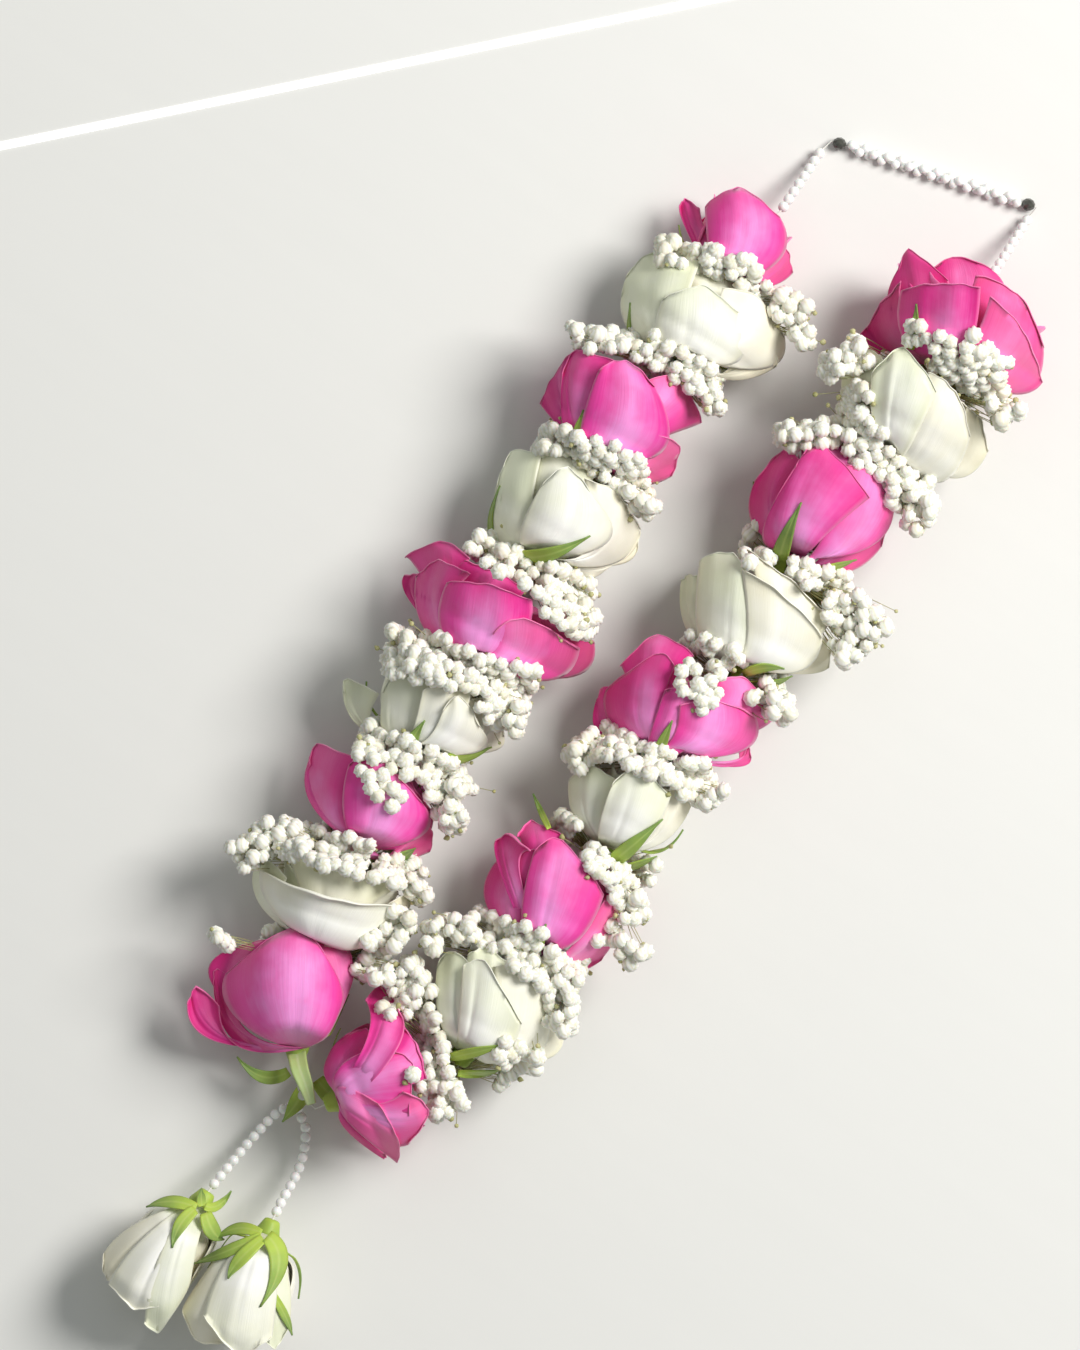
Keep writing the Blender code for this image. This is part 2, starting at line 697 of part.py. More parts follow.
def smooth_route(points, count):
    # Points evenly spaced in parameter on a Catmull-Rom curve through the route's own points.
    points = np.asarray(points, float)
    ends = np.vstack([2 * points[0] - points[1], points, 2 * points[-1] - points[-2]])
    out = []
    for t in np.linspace(0, len(points) - 1, count):
        k = min(int(t), len(points) - 2)
        f = t - k
        a, b, c, d = ends[k : k + 4]
        out.append(
            0.5
            * (2 * b + (c - a) * f + (2 * a - 5 * b + 4 * c - d) * f**2 + (3 * b - a - 3 * c + d) * f**3)
        )
    return np.array(out)


def evenly(path, count):
    # The same curve with points evenly spaced by length.
    steps = np.linalg.norm(np.diff(path, axis=0), axis=1)
    length = np.concatenate([[0], np.cumsum(steps)])
    wanted = np.linspace(0, length[-1], count)
    return np.stack([np.interp(wanted, length, path[:, k]) for k in range(3)], axis=1)


def pearl_stations(route, pearl):
    # Touching pearls on a route: stations at each waist and each middle, and the bore's points among them.
    path = evenly(smooth_route(route, 60), 400)
    length = np.linalg.norm(np.diff(path, axis=0), axis=1).sum()
    count = max(round(length / pearl), 2)
    stations = evenly(path, 2 * count + 1)
    step = 2 if len(route) > 2 else len(stations) - 1
    bore = list(stations[::step])
    return stations, bore


def string_of_pearls(route, pearl):
    stations, bore = pearl_stations(route, pearl)
    radii = [pearl / 2 * (PEARL_WAIST if k % 2 == 0 else 1.0) for k in range(len(stations))]
    return sleeve(stations, radii, bore, PEARL_BORE, PEARL_SIDES)


def make_strings(frames):
    paint = material("pearl", (0.90, 0.90, 0.87), 0.25)
    dark = material("dark_bead", (0.05, 0.05, 0.045), 0.2)
    for name, route, pearl in (
        ("pearl_leg_left", LEG_LEFT, SMALL_PEARL),
        ("pearl_leg_right", LEG_RIGHT, SMALL_PEARL),
    ):
        mesh_object(name, string_of_pearls(route, pearl), paint)
    start, end = np.array(BAR)
    along = unit(end - start)
    inset = DARK_BEAD / 2 + GAP
    mesh_object(
        "pearl_bar", string_of_pearls((start + along * inset, end - along * inset), BAR_PEARL), paint
    )
    for name, centre in (("dark_bead_left", start), ("dark_bead_right", end)):
        half = DARK_BEAD / 2
        stations = [centre + along * half * s for s in (-0.96, -0.5, 0.5, 0.96)]
        radii = [half * r for r in (0.55, 1.0, 1.0, 0.55)]
        mesh_object(
            name, sleeve(stations, radii, [stations[0], stations[-1]], PEARL_BORE, PEARL_SIDES), dark
        )
    routes = [string_of_pearls(TASSEL_ROUTES[name], SMALL_PEARL) for name in TASSELS]
    fused("tassel_pearls", routes[0], routes[1:], paint)


def strand_points(names, frames):
    # The thread's points up a strand: straight through each hub, hip and core, free between them.
    points = []
    for name in reversed(names):
        points += [frames[name].point(-4.0), frames[name].point(CORE_TOP + 1.5)]
    return points


def make_thread(frames):
    bar_start, bar_end = np.array(BAR)
    along = unit(bar_end - bar_start)
    tassel_in = {n: [frames[n].point(CORE_TOP + 2.0), frames[n].point(-1.5)] for n in TASSELS}
    left_route = pearl_stations(TASSEL_ROUTES["tassel_left"], SMALL_PEARL)[1][::-1]
    right_route = pearl_stations(TASSEL_ROUTES["tassel_right"], SMALL_PEARL)[1]
    knot = np.array(KNOT)
    path = (
        tassel_in["tassel_left"]
        + left_route
        + [knot + (-1.0, -0.5, -0.4)]
        + strand_points(LEFT, frames)
        + [np.array(LEG_LEFT[0]), np.array(LEG_LEFT[1])]
        + [bar_start - along * 3.2, bar_end + along * 3.2]
        + [np.array(LEG_RIGHT[1]), np.array(LEG_RIGHT[0])]
        + strand_points(RIGHT, frames)[::-1]
        + [knot + (1.0, -0.5, -0.4)]
        + right_route
        + tassel_in["tassel_right"][::-1]
    )
    cord = rod(path, [THREAD_RADIUS] * len(path), THREAD_SIDES)
    knots = [ball(knot, KNOT_RADIUS)]
    knots += [ball(frames[n].point(CORE_TOP + 2.0), END_KNOT_RADIUS) for n in TASSELS]
    fused("thread", cord, knots, material("thread", (0.82, 0.82, 0.78), 0.8))


def build():
    start_empty()
    frames = make_frames()
    trees = {}
    for frame in frames.values():
        for made in (make_calyx(frame), make_bloom(frame)):
            trees[made.name] = surface_tree(made)
    make_sprays(frames, trees)
    make_strings(frames)
    make_thread(frames)


build()
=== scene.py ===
import math

import bpy
import numpy as np
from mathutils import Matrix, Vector


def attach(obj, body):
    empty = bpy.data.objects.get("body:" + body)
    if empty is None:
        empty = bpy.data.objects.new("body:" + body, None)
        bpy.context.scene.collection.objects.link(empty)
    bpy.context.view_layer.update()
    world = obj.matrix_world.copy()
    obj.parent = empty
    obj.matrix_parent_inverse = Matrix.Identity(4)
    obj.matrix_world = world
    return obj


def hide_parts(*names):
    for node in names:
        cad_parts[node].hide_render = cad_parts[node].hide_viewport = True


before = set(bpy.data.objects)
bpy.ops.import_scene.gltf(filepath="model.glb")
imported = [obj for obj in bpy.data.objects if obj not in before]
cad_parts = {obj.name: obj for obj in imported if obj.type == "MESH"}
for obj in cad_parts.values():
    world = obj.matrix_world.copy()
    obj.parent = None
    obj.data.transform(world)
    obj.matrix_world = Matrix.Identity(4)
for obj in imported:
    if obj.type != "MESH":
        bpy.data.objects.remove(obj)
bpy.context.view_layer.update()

mm = 0.001
planCentre = np.array((-4.72, 6.6, 0.0))  # the frame's origin in the plan
worldUp = np.array((0.0, 0.0, 1.0))
photo = {  # millimetres a pixel, turn in the plan, then in pixels the plan's zero, the middle and the height
    "pixel": 0.375, "turn": math.radians(33.5), "zero": (560, 745), "middle": (540, 675), "height": 1350,
}


def unit(vector):
    vector = np.asarray(vector, float)
    return vector / np.maximum(np.linalg.norm(vector, axis=-1, keepdims=True), 1e-9)


def planOf(u, v):
    # A place in the photo, in its pixels, as a place in the plan: turned by the photo's turn and scaled.
    du = np.asarray(u, float) - photo["zero"][0]
    dv = np.asarray(v, float) - photo["zero"][1]
    c, s = math.cos(photo["turn"]), math.sin(photo["turn"])
    return np.stack([(du * c + dv * s) * photo["pixel"], (du * s - dv * c) * photo["pixel"]], axis=-1)


# Materials: a socket that can be used in sums, and a material that makes nodes

class Term:
    def __init__(self, finish, socket):
        self.finish = finish
        self.socket = socket

    def sum(self, operation, *values):
        return self.finish.node("ShaderNodeMath", {"operation": operation}, dict(enumerate(values)))

    def __add__(self, other):
        return self.sum("ADD", self, other)

    def __radd__(self, other):
        return self.sum("ADD", other, self)

    def __sub__(self, other):
        return self.sum("SUBTRACT", self, other)

    def __rsub__(self, other):
        return self.sum("SUBTRACT", other, self)

    def __mul__(self, other):
        return self.sum("MULTIPLY", self, other)

    def __rmul__(self, other):
        return self.sum("MULTIPLY", other, self)

    def __abs__(self):
        return self.sum("ABSOLUTE", self)


class Finish:
    def __init__(self, name, **constants):
        self.material = bpy.data.materials.new(name)
        self.material.use_nodes = True
        self.tree = self.material.node_tree
        self.shader = self.tree.nodes["Principled BSDF"]
        for socket, value in constants.items():
            self.shader.inputs[socket.replace("_", " ")].default_value = value

    def node(self, kind, settings=None, inputs=None, out=0):
        made = self.tree.nodes.new(kind)
        for key, value in (settings or {}).items():
            setattr(made, key, value)
        for key, value in (inputs or {}).items():
            if isinstance(value, Term):
                self.tree.links.new(value.socket, made.inputs[key])
            else:
                made.inputs[key].default_value = value
        return Term(self, made.outputs[out])

    def attribute(self, name):
        return self.node("ShaderNodeAttribute", {"attribute_name": name}, out="Fac")

    def clamp(self, value, low, high):
        return self.node("ShaderNodeMapRange", {}, {"Value": value, "From Min": low, "From Max": high})

    def colour(self, factor, a, b):
        a, b = (c if isinstance(c, Term) else (*c, 1.0) for c in (a, b))
        return self.node("ShaderNodeMix", {"data_type": "RGBA"}, {0: factor, 6: a, 7: b}, out=2)

    def place(self):
        return self.node("ShaderNodeTexCoord", out="Object")

    def join(self, x, y, z):
        return self.node("ShaderNodeCombineXYZ", {}, {0: x, 1: y, 2: z})

    def stretch(self, vector, scale):
        return self.node("ShaderNodeMapping", {}, {"Vector": vector, "Scale": scale})

    def noise(self, vector, scale, detail=3.0, rough=0.55):
        sockets = {"Vector": vector, "Scale": scale, "Detail": detail, "Roughness": rough}
        return self.node("ShaderNodeTexNoise", {}, sockets)

    def bump(self, height, distance, strength):
        sockets = {"Height": height, "Distance": distance, "Strength": strength}
        return self.node("ShaderNodeBump", {}, sockets)

    def set(self, **links):
        for socket, value in links.items():
            self.tree.links.new(value.socket, self.shader.inputs[socket.replace("_", " ")])
        return self.material


# Each petal colour has its own mid tone. A lighter tone is a painted highlight for the middle of a petal. A
# darker tone is painted shade at a petal's sides and on petals lying low or deep in the bloom. A shade tint
# is painted shade for petals on the side away from the lamp. A warmer tint goes on the other side, and there
# is a pale root and rim.
petalColours = {
    "pink": {"mid": (0.90, 0.06, 0.42), "light": (0.97, 0.33, 0.76), "paintedShade": (0.50, 0.005, 0.11),
             "root": (0.88, 0.20, 0.52), "rim": (0.96, 0.34, 0.62), "patch": (0.92, 0.12, 0.33),
             "shade": (0.78, 0.02, 0.25)},
    "white": {"mid": (0.91, 0.90, 0.81), "light": (0.96, 0.95, 0.91), "paintedShade": (0.76, 0.73, 0.47),
              "root": (0.70, 0.75, 0.42), "rim": (0.95, 0.94, 0.89), "patch": (0.87, 0.80, 0.60),
              "shade": (0.76, 0.80, 0.56)},
}


def petalFinish(name, tints, glow):
    # Painted highlight in the middle of a petal, and painted shade at its sides, low and deep in the bloom
    # and on the side away from the lamp, with a pale root and rim.
    made = Finish(name, Roughness=0.52, Specular_IOR_Level=0.35, Sheen_Weight=0.25, Sheen_Roughness=0.45,
                  Subsurface_Weight=0.06, Subsurface_Scale=0.001, Subsurface_Radius=glow)
    height, across, chance, depth = (made.attribute(a) for a in ("height", "across", "chance", "depth"))
    streak = made.noise(made.join(across * 9.0, height * 1.1, chance * 31.0), 1.6, 3.0, 0.5)
    cloud = made.noise(made.place(), 55.0)
    # Painted highlight: the lighter tone fills the middle of a petal and fades towards its sides and rim.
    side = abs(across + (chance - 0.5) * 0.7)
    shade = side + (cloud - 0.5) * 0.8 + (streak - 0.5) * 0.4 + height * 0.30
    base = made.colour(1.0 - made.clamp(shade, 0.25, 0.95), tints["mid"], tints["light"])
    # Upper parts of petals, and petals far to a side, take a side tone. Where chance is low this is the
    # shade tint, which is painted shade. Where chance is high it is a warmer tint.
    tone = made.colour(made.clamp(chance, 0.3, 0.7), tints["shade"], tints["patch"])
    upper = made.clamp(height * 0.8 + (cloud - 0.5) * 0.8 + abs(chance - 0.5) * 0.9, 0.45, 1.1)
    base = made.colour(upper * 0.8, base, tone)
    # Painted shade along a petal's sides, where it lies under a neighbour's edge.
    base = made.colour(made.clamp(abs(across), 0.78, 1.05) * 0.45, base, tints["paintedShade"])
    # Painted shade on petals that lie low under others and on the inner rings.
    base = made.colour(made.clamp(depth, 0.10, 0.8) * 0.85, base, tints["paintedShade"])
    root = 1.0 - made.clamp(height + (streak - 0.5) * 0.10, 0.02, 0.20)
    base = made.colour(root * 0.8, base, tints["root"])
    rim = made.clamp(made.attribute("edge") + (streak - 0.5) * 0.04, 0.93, 0.99)
    base = made.colour(rim * 0.4, base, tints["rim"])
    veins = made.noise(made.join(across * 34.0, height * 2.2, chance * 9.0), 1.0)
    return made.set(Base_Color=base, Normal=made.bump(veins * 0.7 + cloud * 0.3, 0.0008, 0.22))


def leafFinish(name, low, high, rib, rough):
    # One green at the root and another at the tip, in patches, with a paler rib along the middle.
    made = Finish(name, Roughness=rough, Specular_IOR_Level=0.4, Subsurface_Weight=0.08,
                  Subsurface_Scale=0.002)
    height, across, chance = (made.attribute(a) for a in ("height", "across", "chance"))
    cloud = made.noise(made.place(), 160.0)
    base = made.colour(made.clamp(height + (cloud - 0.5) * 0.6 + (chance - 0.5) * 0.4, 0.1, 0.9), low, high)
    base = made.colour((1.0 - made.clamp(abs(across), 0.0, 0.25)) * 0.5, base, rib)
    return made.set(Base_Color=base, Normal=made.bump(cloud, 0.0006, 0.4))


def floretFinish(hollow, crest, aged):
    # Paler on the petals than between them, where the darker cream is painted shade, and yellower on one
    # floret in four.
    made = Finish("gypsophilaWhite", Roughness=0.8, Specular_IOR_Level=0.15, Subsurface_Weight=0.1,
                  Subsurface_Scale=0.001)
    height, chance = made.attribute("height"), made.attribute("chance")
    cloud = made.noise(made.place(), 300.0, 2.0)
    # Painted shade: the hollow colour fills the hollows between petals and the floret's poles.
    base = made.colour(made.clamp(height + (cloud - 0.5) * 0.3, 0.15, 0.75), hollow, crest)
    base = made.colour(made.clamp(chance, 0.75, 1.0) * 0.5, base, aged)
    return made.set(Base_Color=base, Normal=made.bump(made.noise(made.place(), 700.0, 2.0), 0.0008, 0.25))


def plainFinish(name, colour, second, scale, **constants):
    made = Finish(name, **constants)
    cloud = made.noise(made.place(), scale, 2.0)
    return made.set(Base_Color=made.colour(cloud, colour, second), Normal=made.bump(cloud, 0.0002, 0.15))


finishes = {
    "pink": petalFinish("pinkPetal", petalColours["pink"], (1.0, 0.25, 0.45)),
    "white": petalFinish("whitePetal", petalColours["white"], (1.0, 0.95, 0.7)),
    "sepal": leafFinish("sepalGreen", (0.42, 0.56, 0.08), (0.20, 0.32, 0.08), (0.50, 0.60, 0.18), 0.5),
    "strap": leafFinish("paleStem", (0.42, 0.55, 0.20), (0.50, 0.62, 0.30), (0.62, 0.70, 0.42), 0.5),
    # The floret's first colour is painted shade between its petals.
    "floret": floretFinish((0.78, 0.76, 0.58), (0.96, 0.95, 0.89), (0.80, 0.76, 0.58)),
    "stem": leafFinish("gypsophilaStem", (0.36, 0.36, 0.15), (0.52, 0.50, 0.26), (0.40, 0.36, 0.18), 0.6),
    "pearl": plainFinish("pearlWhite", (0.94, 0.94, 0.92), (0.84, 0.85, 0.84), 260.0, Roughness=0.25,
                         Coat_Weight=0.5, Coat_Roughness=0.08, Subsurface_Weight=0.15,
                         Subsurface_Scale=0.002),
    "bead": plainFinish("smokyBead", (0.035, 0.036, 0.032), (0.09, 0.09, 0.075), 500.0, Roughness=0.12,
                        Coat_Weight=0.4),
    "thread": plainFinish("twistedThread", (0.80, 0.79, 0.74), (0.62, 0.61, 0.56), 900.0, Roughness=0.8),
}
print("materials made:", len(finishes))


# Meshes

def gridFaces(columns, rows, wrap=False):
    # Quads of a grid of points, column by column. If it wraps, the last column joins the first.
    i, j = np.meshgrid(np.arange(columns if wrap else columns - 1), np.arange(rows - 1), indexing="ij")
    a, b = i * rows + j, (i + 1) % columns * rows + j
    return np.stack([a, b, b + 1, a + 1], axis=-1).reshape(-1, 4)


def closedFaces(sides, rows):
    # Faces of a wrapped grid whose first and last rows are each closed by a point, after the grid's own.
    k = np.arange(sides)
    n = (k + 1) % sides
    low = np.stack([n * rows, k * rows, np.full(sides, sides * rows)], axis=-1)
    high = np.stack([k * rows + rows - 1, n * rows + rows - 1, np.full(sides, sides * rows + 1)], axis=-1)
    return [gridFaces(sides, rows, True), low, high]


class Heap:
    # Points and faces gathered for one piece, with a value of each attribute for every point.
    least = 0.05  # nothing lies lower than this, in millimetres

    def __init__(self):
        self.points, self.faces, self.finishes, self.values = [], [], [], {}
        self.count = 0

    def add(self, points, faces, finish=0, **values):
        points = np.asarray(points, float).reshape(-1, 3)
        for face in faces:
            self.faces.append(np.asarray(face) + self.count)
            self.finishes.append(np.full(len(face), finish))
        for name in ("height", "across", "chance", "depth", "edge"):
            value = np.broadcast_to(np.asarray(values.get(name, 0.0), float), len(points))
            self.values.setdefault(name, []).append(value)
        self.points.append(points)
        self.count += len(points)

    def addSheet(self, made, thickness, finish=0, **values):
        # A sheet that comes with its height and across values, given two skins.
        sheet, *marks = made
        height, across = (np.tile(a.ravel(), 2) for a in marks)
        edge = np.maximum(height, np.abs(across) * np.clip(height * 3, 0, 1))
        points, faces = shellOf(sheet, thickness)
        self.add(points, faces, finish, height=height, across=across, edge=edge, **values)

    def addCopies(self, copies, faces, finish=0, **values):
        # Copies of one form: a row of points for each, and the form's own faces.
        steps = (np.arange(len(copies)) * copies.shape[1])[:, None, None]
        self.add(copies, [(f + steps).reshape(-1, f.shape[1]) for f in faces], finish, **values)

    def make(self, name, slot, node, used, smooth=True):
        mesh = bpy.data.meshes.new(name)
        points = np.concatenate(self.points)
        points[:, 2] = np.maximum(points[:, 2], self.least)
        points = (points - planCentre) * mm
        mesh.vertices.add(len(points))
        mesh.vertices.foreach_set("co", points.ravel())
        corners = np.concatenate([f.ravel() for f in self.faces])
        sizes = np.concatenate([np.full(len(f), f.shape[1]) for f in self.faces])
        starts = np.concatenate([[0], np.cumsum(sizes)[:-1]])
        mesh.loops.add(len(corners))
        mesh.loops.foreach_set("vertex_index", corners.astype(np.int32))
        mesh.polygons.add(len(sizes))
        mesh.polygons.foreach_set("loop_start", starts.astype(np.int32))
        mesh.polygons.foreach_set("material_index", np.concatenate(self.finishes).astype(np.int32))
        mesh.polygons.foreach_set("use_smooth", np.full(len(sizes), smooth))
        mesh.update(calc_edges=True)
        for attribute, values in self.values.items():
            layer = mesh.attributes.new(attribute, "FLOAT", "POINT")
            layer.data.foreach_set("value", np.concatenate(values).astype(np.float32))
        for finish in used:
            mesh.materials.append(finishes[finish])
        piece = bpy.data.objects.new(name, mesh)
        bpy.context.scene.collection.objects.link(piece)
        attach(piece, "root")
        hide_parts(node)


def gridNormals(points):
    return unit(np.cross(np.gradient(points, axis=0), np.gradient(points, axis=1)))


def shellOf(points, thickness):
    # A sheet of points given two skins and a rim: each skin lies half a thickness from the sheet.
    columns, rows = points.shape[:2]
    normals = gridNormals(points)
    front, back = points + normals * thickness / 2, points - normals * thickness / 2
    size = columns * rows
    index = np.arange(size).reshape(columns, rows)
    rim = np.concatenate([index[:-1, 0], index[-1, :-1], index[:0:-1, -1], index[0, :0:-1]])
    following = np.roll(rim, -1)
    faces = gridFaces(columns, rows)
    edge = np.stack([following, rim, rim + size, following + size], axis=-1)
    return np.concatenate([front.reshape(-1, 3), back.reshape(-1, 3)]), [faces, faces[:, ::-1] + size, edge]


def along(path):
    # Tangents of a path and two cross axes that turn as little as they can.
    tangents = unit(np.gradient(path, axis=0))
    side = unit(np.cross(tangents[0], worldUp if abs(tangents[0][2]) < 0.9 else (1.0, 0.0, 0.0)))
    sides = [side]
    for tangent in tangents[1:]:
        side = unit(side - tangent * (side @ tangent))
        sides.append(side)
    sides = np.array(sides)
    return tangents, sides, np.cross(tangents, sides)


def tube(path, radii, sides):
    # A ring of points round each point of the path, closed at both ends by a point.
    path = np.asarray(path, float)
    _, first, second = along(path)
    angle = np.arange(sides) * 2 * math.pi / sides
    spokes = np.cos(angle)[:, None, None] * first + np.sin(angle)[:, None, None] * second
    rings = path + spokes * np.broadcast_to(radii, len(path))[:, None]
    return np.concatenate([rings.reshape(-1, 3), path[:1], path[-1:]]), closedFaces(sides, len(path))


def smoothRoute(points, count):
    # Points on a Catmull-Rom curve through the route's own points.
    points = np.asarray(points, float)
    ends = np.vstack([2 * points[0] - points[1], points, 2 * points[-1] - points[-2]])
    t = np.linspace(0, len(points) - 1, count)
    k = np.minimum(t.astype(int), len(points) - 2)
    f = (t - k)[:, None]
    a, b, c, d = (ends[k + n] for n in range(4))
    return 0.5 * (2 * b + (c - a) * f + (2 * a - 5 * b + 4 * c - d) * f**2 + (3 * b - a - 3 * c + d) * f**3)


def evenly(path, count):
    # Points at even steps along a path.
    length = np.concatenate([[0], np.cumsum(np.linalg.norm(np.diff(path, axis=0), axis=1))])
    wanted = np.linspace(0, length[-1], count)
    return np.stack([np.interp(wanted, length, path[:, k]) for k in range(3)], axis=1)


# Roses: each one's place, size and opening, as in the frame

garland = {
    "floorPress": 2.4,  # how far the lowest petals are pressed flat
    "raise": {"tassel_right": 3.0},
    "gap": 0.35,
    "petalRoot": 10.6,  # a petal's lowest point along the rose's axis
}
roses = {  # colour, base x and y, heading left of +Y, height, radius, opening, turn
    "l1": ("pink", -45.1, 172.4, 8, 38.0, 21.0, 0.15, 20),
    "l2": ("white", -43.4, 141.0, 3, 33.0, 29.0, 0.35, 50),
    "l3": ("pink", -50.1, 90.8, 4, 38.0, 27.0, 0.6, 5),
    "l4": ("white", -46.8, 48.5, 2, 38.0, 27.0, 0.3, 35),
    "l5": ("pink", -44.5, 3.0, 4, 38.0, 30.0, 0.95, 90),
    "l6": ("white", -43.9, -36.6, 8, 38.0, 27.5, 0.5, 15),
    "l7": ("pink", -39.1, -77.7, 16, 40.0, 25.0, 0.35, 80),
    "l8": ("white", -32.6, -116.7, 16, 37.0, 27.0, 0.6, 40),
    "l9": ("pink", -17.0, -153.8, 31, 43.0, 24.5, 0.05, 0),
    "r1": ("pink", 41.5, 190.7, 9, 40.0, 31.5, 0.95, 30),
    "r2": ("white", 42.6, 155.7, 4, 34.0, 28.5, 0.45, 75),
    "r3": ("pink", 34.0, 102.4, 2, 41.0, 26.0, 0.35, 10),
    "r4": ("white", 38.6, 56.8, 10, 40.0, 28.5, 0.65, 55),
    "r5": ("pink", 32.6, 13.1, 6, 40.0, 28.0, 0.4, 25),
    "r6": ("white", 36.9, -27.5, 8, 39.0, 24.5, 0.3, 65),
    "r7": ("pink", 35.5, -72.4, 12, 42.0, 26.0, 0.35, 45),
    "r8": ("white", 34.6, -121.2, 8, 42.0, 25.0, 0.35, 5),
    "r9": ("pink", 1.0, -161.2, -35, 34.0, 27.0, 0.8, 85),
    "tassel_left": ("white", -17.5, -213.5, 180, 45.0, 20.5, 0.45, 30),
    "tassel_right": ("white", 8.5, -208.5, -168, 45.0, 21.0, 0.45, 70),
}
pressed = {  # where two roses lie against each other: a point in plan and the side's direction
    "l9": ((-7.8, -158.1), (-0.985, -0.17)),
    "r9": ((-7.0, -158.1), (0.985, 0.17)),
    "tassel_left": ((-3.0, -235.0), (-1.0, 0.0)),
    "tassel_right": ((-2.2, -235.0), (1.0, 0.0)),
}
strands = [["l%d" % i for i in range(1, 10)], ["r%d" % i for i in range(1, 10)]]


def axisHeight(name):
    return roses[name][5] - garland["floorPress"] + garland["raise"].get(name, 0.0)


class Rose:
    def __init__(self, name, rise):
        self.name = name
        self.colour, x, y, heading, self.height, self.radius, self.opening, turn = roses[name]
        self.turn = math.radians(turn)
        angle = math.radians(heading)
        self.base = np.array((x, y, axisHeight(name)))
        self.axis = unit((-math.sin(angle), math.cos(angle), rise))
        self.up = unit(worldUp - self.axis * self.axis[2])
        self.side = np.cross(self.axis, self.up)
        line = self.profile(np.linspace(0, 1, 80))
        self.bellyAlong, self.bellyRho = line[:, 1], line[:, 0]

    def place(self, azimuth, rho, height):
        # Cylindrical places about the rose's axis: azimuth 0 faces up, 90 degrees to the axis' right.
        azimuth, rho, height = np.broadcast_arrays(azimuth, rho, height)
        return (self.base + (rho * np.cos(azimuth))[..., None] * self.up
                + (rho * np.sin(azimuth))[..., None] * self.side + height[..., None] * self.axis)

    def profile(self, t, share=1.0, reach=1.0, root=garland["petalRoot"], opening=None):
        # A Bezier line of radius and height: out along the hip, round the belly and up to the rim.
        opening = self.opening if opening is None else opening
        radius, height = self.radius * share, self.height * reach
        stops = ((3.2, root), (0.80 * radius, root - 1.4), ((1.04 - 0.10 * opening) * radius, 0.44 * height),
                 ((0.72 + 0.40 * opening) * radius, (1.0 - 0.06 * opening) * height))
        t = np.asarray(t, float)[..., None]
        a, b, c, d = (np.array(s) for s in stops)
        return a * (1 - t) ** 3 + 3 * b * t * (1 - t) ** 2 + 3 * c * t**2 * (1 - t) + d * t**3

    def surface(self, places):
        # Height of the rose's top surface over places in plan, and very low where it isn't under them.
        flat = places - self.base[:2]
        run, lateral = flat @ unit(self.axis[:2]), flat @ self.side[:2]
        over = (np.abs(lateral) < self.radius) & (run > 1.0) & (run < self.height + 2.0)
        height = self.base[2] + self.axis[2] * run + bodyHeight(self, run, lateral) + shown["cover"]
        return np.where(over, height, -99.0)


def makeRoses():
    made = {}
    for strand in strands:
        for k, name in enumerate(strand):
            upper = strand[max(k - 1, 0)]
            made[name] = Rose(name, (axisHeight(upper) - axisHeight(name)) / roses[name][4])
    for name in ("tassel_left", "tassel_right"):
        made[name] = Rose(name, 0.0)
    return made


blooms = makeRoses()

petals = {
    "thickness": 0.34, "spiral": 1.3, "clear": 0.3, "ease": 2.0, "within": 0.93, "shoulder": 0.24,
    "pointWidth": 0.20, "rollFrom": 0.78, "rollTo": 1.02, "crease": 0.35, "creaseWidth": 0.13,
    "rootStep": 4.0, "layerTurn": 0.82,
    "layers": (  # count, share, reach, spread, roll in the middle and at the sides, columns, rows, wave
        (4, 0.96, 1.00, 54, 20, 20, 19, 19, 0.5),
        (4, 0.88, 1.01, 58, 20, 35, 19, 19, 0.6),
        (4, 0.77, 1.02, 62, 15, 50, 15, 15, 0.8),
        (4, 0.63, 1.01, 66, 8, 40, 12, 13, 0.7),
        (3, 0.48, 0.97, 74, 4, 30, 12, 12, 0.5),
        (3, 0.33, 0.92, 84, 0, 20, 10, 10, 0.3),
        (2, 0.18, 0.86, 120, 0, 0, 10, 8, 0.1),
    ),
    "topFree": (-0.2, 0.4),  # of the two outer layers, petals that face up more than this are left out
}


